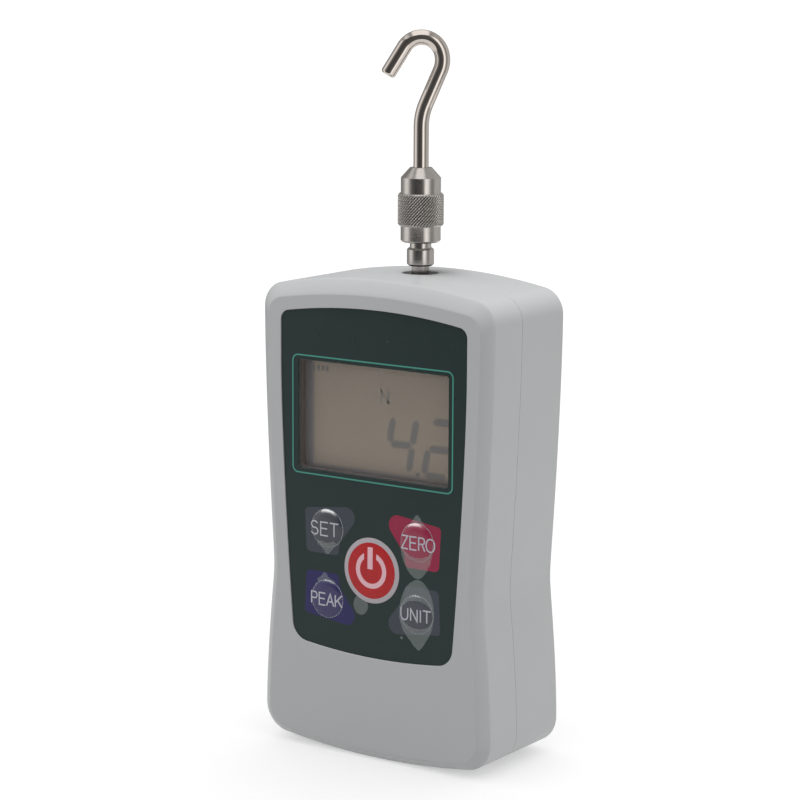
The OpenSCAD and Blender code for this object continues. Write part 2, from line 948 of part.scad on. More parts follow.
module set_key() {
    color("#43464f") key_dome(set_at);
}

module zero_key() {
    color("#9b284b") key_dome(zero_at);
}

module peak_key() {
    color("#302c63") key_dome(peak_at);
}

module unit_key() {
    color("#43464f") key_dome(unit_at);
}

module power_plunger() {
    color("#d8d8d4") plunger(power_at);
}

module set_plunger() {
    color("#d8d8d4") plunger(set_at);
}

module zero_plunger() {
    color("#d8d8d4") plunger(zero_at);
}

module peak_plunger() {
    color("#d8d8d4") plunger(peak_at);
}

module unit_plunger() {
    color("#d8d8d4") plunger(unit_at);
}

// ---- Spindle, chuck and hook ----

// Turned part about the spindle's axis, from a list of radius and height.
module turned(profile) {
    translate([0, axis_y, 0])
        rotate_extrude()
            polygon(profile);
}

module spindle() {
    chamfer = 0.5;
    color("#c4c6c8")
        turned([
            [0, beam_z + 1], [stud_r, beam_z + 1], [stud_r, beam_z + beam_h + 5],
            [shaft_r, beam_z + beam_h + 5], [shaft_r, shaft_top_z], [collar_r - chamfer, shaft_top_z],
            [collar_r, shaft_top_z + chamfer], [collar_r, collar_top_z - chamfer],
            [collar_r - chamfer, collar_top_z], [neck_r, collar_top_z], [neck_r, neck_top_z],
            [stud_r, neck_top_z], [stud_r, stud_top_z - 0.6], [stud_r - 0.6, stud_top_z],
            [0, stud_top_z]
        ]);
}

module spindle_nut() {
    color("#b4b7ba")
        translate([0, axis_y, beam_z + beam_h + 0.05])
            hex_nut(10, 4, stud_r + 0.02);
}

module thrust_washer() {
    color("#e3e2da")
        turned([
            [stud_r + thread_fit, neck_top_z + 0.05], [bore_r - fit_gap, neck_top_z + 0.05],
            [bore_r - fit_gap, neck_top_z + washer_t], [stud_r + thread_fit, neck_top_z + washer_t]
        ]);
}

module chuck_sleeve() {
    edge = 0.8;
    color("#c4c6c8")
        difference() {
            union() {
                turned([
                    [0, chuck_z], [chuck_r - 0.6, chuck_z], [chuck_r, chuck_z + 0.6],
                    [chuck_r, band_z], [knurl_r - edge, band_z], [knurl_r - 0.35, band_z + edge],
                    [knurl_r - 0.35, band_top_z - edge], [knurl_r - edge, band_top_z],
                    [chuck_r, band_top_z], [chuck_r, cone_z], [wire_r + 1.05, chuck_top_z],
                    [0, chuck_top_z]
                ]);
                translate([0, axis_y, band_z + edge])
                    linear_extrude(band_top_z - band_z - 2 * edge)
                        polygon([for (i = [0:2 * knurl_teeth - 1])
                            let (a = 180 * i / knurl_teeth, r = knurl_r - (i % 2) * 0.5)
                            [r * cos(a), r * sin(a)]]);
            }
            translate([0, axis_y, chuck_z - 1])
                cylinder(h = shoulder_in_z - chuck_z + 1, r = bore_r);
            translate([0, axis_y, chuck_z])
                cylinder(h = 30, r = stem_r + stem_fit);
        }
}

module chuck_bush() {
    z0 = neck_top_z + washer_t + 0.05;
    color("#b08d57")
        turned([[stud_r + thread_fit, z0], [bore_r, z0], [bore_r, bush_top_z],
            [stud_r + thread_fit, bush_top_z]]);
}

// Middle line of the hook's wire in its own plane, from the stem round to the end of the tail.
function hook_line() =
    let (
        bend = [0, hook_z],
        side = bend + (hook_bend_r - hook_side_r) * [cos(side_a), sin(side_a)],
        tail = bend + hook_bend_r * [cos(tail_a), sin(tail_a)],
        down = [-sin(tail_a), cos(tail_a)],
        lean_top = side + hook_side_r * [cos(lean_a), -sin(lean_a)],
        meet_z = lean_top[1] - lean_top[0] / tan(lean_a),
        stem_top = meet_z - foot_bend_r * tan(lean_a / 2)
    )
    concat(
        [[0, stem_top - 3]],
        arc(foot_bend_r, stem_top, foot_bend_r, 180, 180 - lean_a, 5),
        arc(side[0], side[1], hook_side_r, -lean_a, side_a, 6),
        tail_of(arc(bend[0], bend[1], hook_bend_r, side_a, tail_a, 16)),
        [tail + (tail_len - tip_chamfer) * down, tail + tail_len * down]
    );

module hook() {
    line = hook_line();
    last = len(line) - 1;
    color("#cfd1d3")
        translate([0, axis_y, 0])
            rotate(hook_turn) {
                tube([for (p = line) [p[0], 0, p[1]]],
                    [for (i = [0:last]) i == last ? wire_r - tip_chamfer : wire_r], 16, [0, 1, 0]);
                translate([0, 0, shoulder_in_z - head_gap - head_t / 2])
                    cylinder(h = line[1][1] - shoulder_in_z + head_gap + head_t / 2 - 1, r = stem_r);
                translate([0, 0, shoulder_in_z - head_gap - head_t])
                    cylinder(h = head_t, r = head_r);
            }
}

front_cover();
rear_cover();
case_screws();
rear_label();
overlay_film();
display_window();
window_gasket();
lcd_panel();
lcd_holder();
lcd_connectors();
backlight_plate();
main_board();
board_screws();
tact_switches();
board_chips();
buzzer();
board_headers();
load_cell();
strain_gauges();
load_cell_bracket();
load_cell_screws();
bracket_screws();
overload_screw();
overload_nut();
battery_cells();
battery_tray();
battery_retainer();
retainer_screws();
power_jack();
jack_pin();
jack_nut();
port_board();
data_port();
data_port_tongue();
stand_inserts();
battery_leads();
sensor_leads();
power_key();
set_key();
zero_key();
peak_key();
unit_key();
power_plunger();
set_plunger();
zero_plunger();
peak_plunger();
unit_plunger();
spindle();
spindle_nut();
thrust_washer();
chuck_sleeve();
chuck_bush();
hook();
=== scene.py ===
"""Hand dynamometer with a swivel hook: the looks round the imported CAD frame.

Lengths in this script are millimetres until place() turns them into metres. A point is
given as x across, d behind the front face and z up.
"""

import math

import bmesh
import bpy
from mathutils import Matrix, Vector
from mathutils.geometry import delaunay_2d_cdt


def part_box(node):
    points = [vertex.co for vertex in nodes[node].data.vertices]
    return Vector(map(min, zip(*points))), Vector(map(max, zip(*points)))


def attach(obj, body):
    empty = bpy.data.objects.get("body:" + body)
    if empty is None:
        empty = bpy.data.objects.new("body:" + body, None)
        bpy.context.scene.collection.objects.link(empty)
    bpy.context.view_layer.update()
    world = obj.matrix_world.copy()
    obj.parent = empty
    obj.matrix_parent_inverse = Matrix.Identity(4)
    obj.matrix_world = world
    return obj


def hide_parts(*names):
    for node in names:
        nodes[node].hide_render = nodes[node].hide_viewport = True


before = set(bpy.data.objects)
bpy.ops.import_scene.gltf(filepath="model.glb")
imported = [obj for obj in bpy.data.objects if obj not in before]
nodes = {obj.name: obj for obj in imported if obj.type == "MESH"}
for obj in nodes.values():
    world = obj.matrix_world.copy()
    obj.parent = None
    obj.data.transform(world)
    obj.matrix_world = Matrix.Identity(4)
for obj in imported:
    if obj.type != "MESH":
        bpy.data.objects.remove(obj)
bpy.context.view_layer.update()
scene = bpy.context.scene
MM = 0.001


# ---- Camera and lights ----

CAMERA_AT = (0.460866, -0.668873, 0.253611)
CAMERA_AZIMUTH = math.radians(34.831)
CAMERA_ELEVATION = math.radians(9.993)
CAMERA_ROLL = math.radians(0.282)
LENS = 119.554


def make_camera():
    data = bpy.data.cameras.new("camera")
    data.lens = LENS
    data.sensor_width = 36
    data.clip_start = 0.01
    data.clip_end = 60
    camera = bpy.data.objects.new("camera", data)
    scene.collection.objects.link(camera)
    turns = ((CAMERA_AZIMUTH, "Z"), (math.pi / 2 - CAMERA_ELEVATION, "X"), (CAMERA_ROLL, "Z"))
    matrix = Matrix.Translation(CAMERA_AT)
    for angle, axis in turns:
        matrix = matrix @ Matrix.Rotation(angle, 4, axis)
    camera.matrix_world = matrix
    scene.camera = camera


def area_light(name, at, target, size, power):
    data = bpy.data.lights.new(name, "AREA")
    data.shape = "RECTANGLE"
    data.size, data.size_y = size
    data.energy = power
    light = bpy.data.objects.new(name, data)
    scene.collection.objects.link(light)
    light.location = at
    light.rotation_euler = (Vector(target) - light.location).to_track_quat("-Z", "Y").to_euler()
    return light


make_camera()
scene.view_settings.view_transform = "Standard"


# ---- Node materials ----


def srgb(r, g, b):
    """A colour given as 0-255 display values, as linear values."""
    out = []
    for value in (r, g, b):
        c = value / 255
        out.append(c / 12.92 if c <= 0.04045 else ((c + 0.055) / 1.055) ** 2.4)
    return (*out, 1)


def scaled(color, k):
    return (*(min(1, c * k) for c in color[:3]), 1)


# Sockets of a colour mix node, and the height of the finest relief in metres.
COLOR_A, COLOR_B, COLOR_RESULT = 6, 7, 2
RELIEF_HEIGHT = 0.0001


class Nodes:
    """Short names for building a node tree."""

    def __init__(self, tree):
        self.tree = tree

    def add(self, kind, inputs=(), **settings):
        node = self.tree.nodes.new(kind)
        for key, value in settings.items():
            setattr(node, key, value)
        for key, value in dict(inputs).items():
            if isinstance(value, bpy.types.NodeSocket):
                self.tree.links.new(value, node.inputs[key])
            else:
                node.inputs[key].default_value = value
        return node

    def noise(self, at, scale, detail=2.0):
        node = self.add("ShaderNodeTexNoise", {"Vector": at, "Scale": float(scale), "Detail": detail})
        return node.outputs["Fac"]

    def bump(self, height, strength, **more):
        node = self.add("ShaderNodeBump", {"Height": height, "Strength": strength,
                                           "Distance": RELIEF_HEIGHT, **more})
        return node.outputs["Normal"]


def material(name, color, rough, metallic=0.0, vary=0.05, grain=(2600, 0.06), cloud=60, turned=0.0,
             specks=None, stretch=(1, 1, 1), rough_vary=0.06, **sockets):
    """Principled material with clouded colour, uneven roughness and a fine relief.

    grain is the relief's frequency per metre and strength. turned adds lathe marks across Z.
    specks is a colour for a few tiny marks. The other sockets are single values.
    """
    mat = bpy.data.materials.new(name)
    mat.use_nodes = True
    tree = mat.node_tree
    n = Nodes(tree)
    shader = tree.nodes["Principled BSDF"]
    place_node = n.add("ShaderNodeTexCoord")
    spot = n.add("ShaderNodeMapping", {"Vector": place_node.outputs["Object"], "Scale": stretch})
    at = spot.outputs["Vector"]
    tint = n.add("ShaderNodeMix", {"Factor": n.noise(at, cloud, 4.0), COLOR_A: scaled(color, 1 - vary),
                                   COLOR_B: scaled(color, 1 + vary)}, data_type="RGBA")
    result = tint.outputs[COLOR_RESULT]
    if specks:
        dots = n.add("ShaderNodeTexVoronoi", {"Vector": at, "Scale": 85.0})
        mark = n.add("ShaderNodeMapRange", {"Value": dots.outputs["Distance"], "From Min": 0.014,
                                            "From Max": 0.022, "To Min": 1.0, "To Max": 0.0})
        dotted = n.add("ShaderNodeMix", {"Factor": mark.outputs["Result"], COLOR_A: result,
                                         COLOR_B: specks}, data_type="RGBA")
        result = dotted.outputs[COLOR_RESULT]
    tree.links.new(result, shader.inputs["Base Color"])
    dull = n.add("ShaderNodeMapRange", {"Value": n.noise(at, cloud * 3.1, 3.0),
                                        "To Min": rough - rough_vary, "To Max": rough + rough_vary})
    tree.links.new(dull.outputs["Result"], shader.inputs["Roughness"])
    normal = n.bump(n.noise(at, grain[0]), grain[1])
    if turned:
        rings = n.add("ShaderNodeMapping", {"Vector": place_node.outputs["Object"], "Scale": (40, 40, 5200)})
        normal = n.bump(n.noise(rings.outputs["Vector"], 1.0), turned, Normal=normal)
    tree.links.new(normal, shader.inputs["Normal"])
    shader.inputs["Metallic"].default_value = metallic
    for key, value in sockets.items():
        shader.inputs[key.replace("_", " ")].default_value = value
    return mat


PATCH_GREY = srgb(50, 55, 64)
PATCH_CRIMSON = srgb(124, 22, 54)
PATCH_BLUE = srgb(32, 29, 76)

FILM_SKIN = {"grain": (1400, 0.05), "Specular_IOR_Level": 0.25}
DOME_SKIN = {"vary": 0.05, "grain": (60, 0.01), "Specular_IOR_Level": 0.5}
INK_SKIN = {"grain": (1400, 0.04)}
GLASS_SKIN = {"grain": (80, 0.004), "cloud": 70}
MARK_SKIN = {"vary": 0.03, "grain": (80, 0.004), "cloud": 90, "Specular_IOR_Level": 0.3}

M = {
    "housing": material("housing_plastic", srgb(151, 152, 153), 0.38, vary=0.018, grain=(3200, 0.16),
                        cloud=45),
    # Dark lining for the wall of the display window's opening: painted shade.
    "bezel": material("window_wall_painted_shade", srgb(46, 57, 60), 0.45, vary=0.08, grain=(2600, 0.12)),
    "film": material("panel_film", srgb(27, 41, 39), 0.3, vary=0.1, grain=(1400, 0.03), cloud=90,
                     specks=srgb(60, 74, 70), Specular_IOR_Level=0.2),
    "line": material("line_print", srgb(52, 122, 108), 0.35, vary=0.05, Specular_IOR_Level=0.3),
    "grey_patch": material("grey_patch_print", PATCH_GREY, 0.3, vary=0.06, **FILM_SKIN),
    "crimson_patch": material("crimson_patch_print", PATCH_CRIMSON, 0.3, vary=0.05, **FILM_SKIN),
    "blue_patch": material("blue_patch_print", PATCH_BLUE, 0.3, vary=0.07, **FILM_SKIN),
    "grey_dome": material("grey_dome", scaled(PATCH_GREY, 0.8), 0.15, **DOME_SKIN),
    "crimson_dome": material("crimson_dome", scaled(PATCH_CRIMSON, 0.95), 0.15, **DOME_SKIN),
    "blue_dome": material("blue_dome", scaled(PATCH_BLUE, 0.95), 0.15, **DOME_SKIN),
    "key_ring": material("key_ring_print", srgb(146, 140, 145), 0.32, vary=0.04, **INK_SKIN),
    "key_red": material("key_red_print", srgb(150, 10, 16), 0.26, vary=0.14, cloud=350,
                        Specular_IOR_Level=0.3, **INK_SKIN),
    "symbol": material("symbol_print", srgb(190, 150, 158), 0.32, vary=0.06, **INK_SKIN),
    "legend": material("legend_print", srgb(156, 156, 166), 0.35, vary=0.06, **INK_SKIN),
    # Lighter see-through sheet where the film has lifted: its tone is painted sheen.
    "bubble": material("lifted_film_painted_sheen", srgb(176, 184, 182), 0.28, vary=0.06, grain=(600, 0.02),
                       Alpha=0.17, Specular_IOR_Level=0.4),
    "edge_line": material("dome_edge", srgb(180, 188, 190), 0.25, vary=0.05, Alpha=0.4),
    "clear": material("clear_lens", srgb(130, 120, 108), 0.16, vary=0.05, grain=(60, 0.01),
                      rough_vary=0.03, Alpha=0.05, Specular_IOR_Level=0.5),
    "lcd": material("lcd_glass", srgb(133, 124, 113), 0.42, vary=0.02, Specular_IOR_Level=0.3,
                    **GLASS_SKIN),
    # Darker tones along the display's left and lower edges: painted shade, in two steps.
    "lcd_border": material("lcd_border", srgb(93, 95, 102), 0.42, vary=0.03, **GLASS_SKIN),
    "lcd_fade": material("lcd_painted_shade_fade", srgb(115, 109, 107), 0.42, vary=0.03, **GLASS_SKIN),
    "lcd_edge": material("lcd_edge_glass", srgb(120, 128, 124), 0.15, vary=0.04),
    # Rim round each display segment: painted soft shadow of the segment, and blur.
    "segment_soft": material("segment_painted_shadow_and_blur", srgb(121, 113, 104), 0.42, vary=0.02,
                             Specular_IOR_Level=0.3, **GLASS_SKIN),
    "mark": material("mark_ink", srgb(110, 108, 105), 0.42, **MARK_SKIN),
    "segment": material("segment_ink", srgb(98, 99, 100), 0.42, **MARK_SKIN),
    "dark": material("dark_plastic", srgb(34, 35, 37), 0.4, vary=0.1, grain=(2600, 0.15)),
    "white": material("white_plastic", srgb(222, 221, 214), 0.4, vary=0.03, grain=(2400, 0.1)),
    "foam": material("foam_rubber", srgb(78, 66, 66), 0.8, vary=0.15, grain=(4200, 0.7)),
    "silicone": material("silicone", srgb(206, 140, 168), 0.5, vary=0.05, grain=(1800, 0.1)),
    "board": material("board_green", srgb(30, 98, 56), 0.38, vary=0.14, grain=(1500, 0.2), cloud=420),
    "label": material("label_silver", srgb(196, 199, 201), 0.34, metallic=0.55, vary=0.03,
                      stretch=(1, 1, 26), grain=(900, 0.14)),
    "screw": material("screw_steel", srgb(150, 152, 156), 0.32, metallic=1, vary=0.08,
                      grain=(2200, 0.2)),
    "dark_steel": material("dark_steel", srgb(62, 64, 68), 0.36, metallic=1, vary=0.12,
                           grain=(2200, 0.2)),
    "nickel": material("nickel_steel", srgb(182, 177, 173), 0.2, metallic=1, vary=0.05,
                       grain=(1800, 0.05), turned=0.12),
    "knurl": material("knurled_steel", srgb(180, 176, 172), 0.25, metallic=1, vary=0.14,
                      grain=(3000, 0.16), cloud=700),
    # Darker steel for faces deep in the knurl's grooves: painted shade.
    "groove_painted_shade": material("knurl_groove", srgb(112, 107, 103), 0.4, metallic=1, vary=0.1, grain=(3000, 0.16)),
    "hook": material("polished_steel", srgb(196, 188, 181), 0.09, metallic=1, vary=0.05,
                     stretch=(1, 1, 0.4), grain=(700, 0.16), cloud=120, rough_vary=0.05),
    "aluminium": material("beam_aluminium", srgb(196, 199, 203), 0.34, metallic=1, vary=0.04,
                          stretch=(0.2, 1, 1), grain=(2600, 0.25)),
    "brass": material("brass", srgb(201, 166, 92), 0.28, metallic=1, vary=0.1, grain=(2000, 0.12)),
    "sleeve": material("cell_sleeve", srgb(42, 104, 74), 0.35, vary=0.08, grain=(1500, 0.1)),
    "red_lead": material("lead_red", srgb(178, 44, 38), 0.45, vary=0.08, grain=(2000, 0.15)),
    "blue_lead": material("lead_blue", srgb(54, 88, 142), 0.45, vary=0.08, grain=(2000, 0.15)),
    "foil": material("gauge_foil", srgb(196, 128, 62), 0.35, metallic=0.3, vary=0.12,
                     grain=(2600, 0.2), stretch=(6, 1, 1)),
    "floor": material("studio_floor", srgb(246, 246, 246), 0.7, vary=0.005, grain=(300, 0.02), cloud=4),
}

# Looks of the frame's own nodes.
NODE_LOOKS = {
    "foam": ["window_gasket"],
    "dark": ["lcd_holder", "tact_switches", "board_chips", "buzzer", "battery_tray", "data_port_tongue"],
    "silicone": ["lcd_connectors"],
    "white": ["backlight_plate", "board_headers", "power_plunger", "set_plunger", "zero_plunger",
              "peak_plunger", "unit_plunger", "thrust_washer"],
    "board": ["main_board", "port_board"],
    "screw": ["board_screws", "bracket_screws", "retainer_screws", "case_screws", "spindle_nut",
              "overload_nut", "jack_nut", "battery_retainer"],
    "dark_steel": ["load_cell_screws", "overload_screw"],
    "aluminium": ["load_cell", "load_cell_bracket"],
    "foil": ["strain_gauges"],
    "sleeve": ["battery_cells"],
    "brass": ["jack_pin", "stand_inserts", "chuck_bush"],
    "red_lead": ["battery_leads"],
    "blue_lead": ["sensor_leads"],
    "label": ["rear_label"],
}


# ---- Sizes that the frame gives ----


def box_mm(node):
    low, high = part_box(node)
    return low / MM, high / MM


shell_low, shell_high = box_mm("front_cover")
rear_low, rear_high = box_mm("rear_cover")
FRONT = shell_low.y
BODY_H = max(shell_high.z, rear_high.z)
BODY_W = rear_high.x - rear_low.x
BODY_D = rear_high.y - FRONT
spindle_low, spindle_high = box_mm("spindle")
AXIS_D = (spindle_low.y + spindle_high.y) / 2 - FRONT


def place(x, d, z):
    """A point in metres in the row frame."""
    return Vector((x, FRONT + d, z)) * MM


# ---- Outlines ----

WAIST_W, WAIST_Z, FOOT_W = 78.6, 56.0, 85.2
CROWN_R, BASE_R = 200.0, 250.0
SHOULDER_Z, FOOT_Z = BODY_H - 11.2, 11.35
EDGE_INSET, EDGE_DEPTH, CROWN_INSET = 3.6, 2.9, 5.0
PARTING_D, WALL = 17.5, 2.6
SIDE_POWER, WAIST_BLEND = 1.6, 0.6
PANEL_TOP, PANEL_BASE, PANEL_W = 141.1, 32.6, 69.2
PANEL_DRAW, PANEL_STRAIGHT, PANEL_DRAW_H, PANEL_POWER, PANEL_R = 4.85, 122.0, 88.0, 1.5, 200.0
film_low, film_high = box_mm("overlay_film")
dome_low = box_mm("power_key")[0]
lens_low, lens_high = box_mm("display_window")
FILM_D, RECESS_D = film_low.y - FRONT, film_high.y - FRONT
FILM_T = RECESS_D - FILM_D
DOME_H = film_low.y - dome_low.y
INNER_D = lens_low.y - FRONT


def body_half(z):
    upper = BODY_W / 2 - (BODY_W - WAIST_W) / 2 * (
        max(0, SHOULDER_Z - z) / (SHOULDER_Z - WAIST_Z)) ** SIDE_POWER
    lower = FOOT_W / 2 - (FOOT_W - WAIST_W) / 2 * (
        max(0, z - FOOT_Z) / (WAIST_Z - FOOT_Z)) ** SIDE_POWER
    return (upper + lower + math.hypot(upper - lower, WAIST_BLEND)) / 2


def panel_half(z):
    return PANEL_W / 2 - PANEL_DRAW * (max(0, PANEL_STRAIGHT - z) / PANEL_DRAW_H) ** PANEL_POWER


def arc(cx, cz, r, a0, a1, n):
    turns = [math.radians(a0 + (a1 - a0) * i / n) for i in range(n + 1)]
    return [(cx + r * math.cos(a), cz + r * math.sin(a)) for a in turns]


def outline(half, top_z, top_r, low_z, low_r, r_top, r_low, n_arc, n_corner, n_side):
    """Closed outline with curved sides, a crowned top and base, and rounded corners."""
    cx_t = half(top_z - 1.4 * r_top) - r_top
    cz_t = top_z - top_r + math.sqrt((top_r - r_top) ** 2 - cx_t ** 2)
    cx_b = half(low_z + 1.2 * r_low) - r_low
    cz_b = low_z + low_r - math.sqrt((low_r - r_low) ** 2 - cx_b ** 2)
    a_t = math.degrees(math.atan2(cz_t - top_z + top_r, cx_t))
    a_b = -math.degrees(math.atan2(low_z + low_r - cz_b, cx_b))
    right = arc(0, top_z - top_r, top_r, 90, a_t, n_arc)
    right += arc(cx_t, cz_t, r_top, a_t, 0, n_corner)[1:]
    heights = [cz_t + (cz_b - cz_t) * i / n_side for i in range(1, n_side)]
    right += [(half(z), z) for z in heights]
    right += arc(cx_b, cz_b, r_low, 0, a_b, n_corner)
    right += arc(0, low_z + low_r, low_r, a_b, -90, n_arc)[1:]
    return right + [(-x, z) for x, z in right[-2:0:-1]]


def body_outline(side, top, low, corner):
    crown_r = CROWN_R - top + 20 * top / CROWN_INSET
    return outline(lambda z: body_half(z) - side, BODY_H - top, crown_r, low, BASE_R - low,
                   8 - corner, 9 - corner, 24, 14, 56)


def bevel_outline(k):
    return body_outline(EDGE_INSET * k, CROWN_INSET * k, EDGE_DEPTH * k, 2.4 * k)


def inner_outline(t):
    return body_outline(t, t, t, t)


def panel_outline(t):
    return outline(lambda z: panel_half(z) - t, PANEL_TOP - t, PANEL_R, PANEL_BASE + t, PANEL_R,
                   3.2 - t, 6 - t, 20, 12, 40)


def circle(cx, cz, r, n=96):
    return arc(cx, cz, r, 0, 360, n)[:-1]


def ellipse(cx, cz, rx, rz, n=64):
    return [(cx + rx * x, cz + rz * z) for x, z in circle(0, 0, 1, n)]


def rounded(corners, steps=8, closed=True):
    """Polygon or open line through (x, y, radius) corners, with each corner rounded."""
    out = []
    n = len(corners)
    for i, (x, y, r) in enumerate(corners):
        p = Vector((x, y))
        ends = not closed and i in (0, n - 1)
        if r <= 0 or ends:
            out.append((x, y))
            continue
        a = Vector(corners[i - 1][:2]) - p
        b = Vector(corners[(i + 1) % n][:2]) - p
        reach = 0.49 * min(a.length, b.length)
        a.normalize()
        b.normalize()
        half = math.acos(max(-1, min(1, a.dot(b)))) / 2
        t = min(r / math.tan(half), reach)
        r = t * math.tan(half)
        centre = p + (a + b).normalized() * (r / math.sin(half))
        start, end = p + a * t - centre, p + b * t - centre
        a0 = math.atan2(start.y, start.x)
        sweep = (math.atan2(end.y, end.x) - a0 + math.pi) % (2 * math.pi) - math.pi
        for k in range(steps + 1):
            angle = a0 + sweep * k / steps
            out.append((centre.x + r * math.cos(angle), centre.y + r * math.sin(angle)))
    return out


def rectangle(x0, z0, x1, z1, r, steps=8):
    return rounded([(x0, z0, r), (x1, z0, r), (x1, z1, r), (x0, z1, r)], steps)


# ---- Mesh helpers ----

SHARP, TURNED_SHARP = math.radians(32), math.radians(40)


def make_piece(name, verts, faces, look, smooth=True, sharp=SHARP):
    """A new object from a closed mesh, with its sharp edges marked."""
    mesh = bpy.data.meshes.new(name)
    bm = bmesh.new()
    made = [bm.verts.new(v) for v in verts]
    for face in faces:
        bm.faces.new([made[i] for i in face])
    bmesh.ops.recalc_face_normals(bm, faces=bm.faces)
    bm.to_mesh(mesh)
    bm.free()
    obj = bpy.data.objects.new(name, mesh)
    scene.collection.objects.link(obj)
    mesh.materials.append(M[look])
    if smooth:
        mark_sharp(obj, sharp)
    return obj


def mark_sharp(obj, sharp=SHARP):
    bm = bmesh.new()
    bm.from_mesh(obj.data)
    for face in bm.faces:
        face.smooth = True
    for edge in bm.edges:
        edge.smooth = len(edge.link_faces) == 2 and edge.calc_face_angle(0) < sharp
    bm.to_mesh(obj.data)
    bm.free()


def bands(count, n, closed=False):
    """Faces between count rings of n points, back to the first ring if closed."""
    faces = []
    for r in range(count if closed else count - 1):
        low, high = r * n, (r + 1) % count * n
        for j in range(n):
            k = (j + 1) % n
            faces.append([low + j, low + k, high + k, high + j])
    return faces


def loft(rings):
    """Closed mesh through rings of points, with flat ends."""
    n = len(rings[0])
    ends = [list(range(n)), list(range((len(rings) - 1) * n, len(rings) * n))[::-1]]
    return [p for ring in rings for p in ring], ends + bands(len(rings), n)


def box_loop(low, high, across, up, r):
    """A node's box seen from the front, drawn in by across and up, with rounded corners."""
    return rectangle(low.x + across, low.z + up, high.x - across, high.z - up, r)


def at_depth(points, d):
    return [place(x, d, z) for x, z in points]


def prism(points, d0, d1):
    return loft([at_depth(points, d0), at_depth(points, d1)])


def post(x, z, r, d0, d1, n=64):
    return prism(circle(x, z, r, n), d0, d1)


def merged(parts):
    verts, faces = [], []
    for part_verts, part_faces in parts:
        start = len(verts)
        verts += part_verts
        faces += [[start + i for i in face] for face in part_faces]
    return verts, faces


def boolean(obj, part, operation):
    """Cuts a closed mesh out of obj, or adds it to obj."""
    tool = make_piece("tool", *part, "dark", smooth=False)
    modifier = obj.modifiers.new("boolean", "BOOLEAN")
    modifier.operation = operation
    modifier.solver = "EXACT"
    modifier.object = tool
    bpy.context.view_layer.update()
    result = bpy.data.meshes.new_from_object(obj.evaluated_get(bpy.context.evaluated_depsgraph_get()))
    obj.modifiers.clear()
    old = obj.data
    obj.data = result
    bpy.data.meshes.remove(old)
    bpy.data.objects.remove(tool)


def cut(obj, part):
    boolean(obj, part, "DIFFERENCE")


def join(obj, part):
    boolean(obj, part, "UNION")


def finish_piece(obj, body, slot, *replaced):
    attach(obj, body)
    if replaced:
        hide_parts(*replaced)


def add_piece(name, mesh, look, body, slot, *replaced):
    """Makes and finishes a piece, unless its mesh is empty."""
    if mesh[1]:
        finish_piece(make_piece(name, *mesh, look), body, slot, *replaced)


def finish_cover(obj, node):
    mark_sharp(obj)
    modifier = obj.modifiers.new("even_shading", "WEIGHTED_NORMAL")
    modifier.keep_sharp = True
    modifier.weight = 80
    finish_piece(obj, "housing", "housing_plastic", node)


def turned(profile, n, to_point, closed=False):
    """Mesh of revolution from (radius, height) pairs. to_point gives the place of x, y and height."""
    verts, rows = [], []
    for r, h in profile:
        if r < 1e-6:
            rows.append([len(verts)])
            verts.append(to_point(0, 0, h))
            continue
        rows.append(list(range(len(verts), len(verts) + n)))
        verts += [to_point(x, y, h) for x, y in circle(0, 0, r, n)]
    pairs = list(zip(rows, rows[1:]))
    if closed:
        pairs.append((rows[-1], rows[0]))
    faces = []
    for low, high in pairs:
        for j in range(n):
            k = (j + 1) % n
            if len(low) == 1 and len(high) > 1:
                faces.append([low[0], high[j], high[k]])
            elif len(high) == 1 and len(low) > 1:
                faces.append([low[j], low[k], high[0]])
            elif len(low) > 1:
                faces.append([low[j], low[k], high[k], high[j]])
    return verts, faces


def on_spindle(x, y, h):
    return place(x, AXIS_D + y, h)


# ---- Housing ----


def bezier_bevel(steps):
    """Points (k, depth) of the bevel between the face, k = 1, and the wall, k = 0."""
    soft = 0.15
    out = []
    for i in range(steps + 1):
        t = i / steps
        a, b, c = 3 * (1 - t) ** 2 * t, 3 * (1 - t) * t * t, t ** 3
        out.append((1 - (a * soft + b + c), EDGE_DEPTH * (b * (1 - soft) + c)))
    return out


PARTING_R = 0.18
LIP_H, LIP_SEAT_H = 1.8, 1.9
CASE_POST_R, BOARD_POST_R, BRACKET_POST_R, INSERT_POST_R = 3.8, 3, 4, 5.2
BOARD_POST_D, BRACKET_POST_D = 10, 37
COUNTERBORE_R, COUNTERBORE_D, SPINDLE_HOLE_R, HOLE_EDGE_R = 3.15, 30, 5.63, 0.35
INSERT_R, INSERT_DEPTH, LABEL_DEPTH = 2.85, 8, 0.3
parting_steps = [(0, PARTING_R), (0.29 * PARTING_R, 0.29 * PARTING_R), (PARTING_R, 0)]
CASE_POSTS = [(-34.85, 135.5), (34.85, 135.5), (-34.8, 13), (34.8, 13)]
INSERTS = [(x * 25, 52 + z * 30) for x in (-1, 1) for z in (-1, 1)]
BOARD_POSTS = [(-20, 132.5), (20, 132.5), (-27, 38), (27, 38)]
BRACKET_POSTS = [(-33, 94), (20.5, 94), (-33, 127.5), (20.5, 127.5)]


def key_place(node):
    low, high = box_mm(node)
    return (low.x + high.x) / 2, (low.z + high.z) / 2, (high.x - low.x) / 2


KEYS = {name: key_place(name + "_key") for name in ("power", "set", "zero", "peak", "unit")}
WINDOW_Z = (lens_low.z + lens_high.z) / 2
WINDOW_HALF_W, WINDOW_HALF_H = lens_high.x - 1.3, (lens_high.z - lens_low.z) / 2 - 1.3
window_loop = rectangle(-WINDOW_HALF_W, WINDOW_Z - WINDOW_HALF_H, WINDOW_HALF_W,
                        WINDOW_Z + WINDOW_HALF_H, 1.3)


def eased(r, steps=6):
    """Depth and widening along a hole's mouth whose edge is rounded by r."""
    depths = [r * i / steps for i in range(steps + 1)]
    return [(d, r - math.sqrt(max(0, r * r - (r - d) ** 2))) for d in depths]


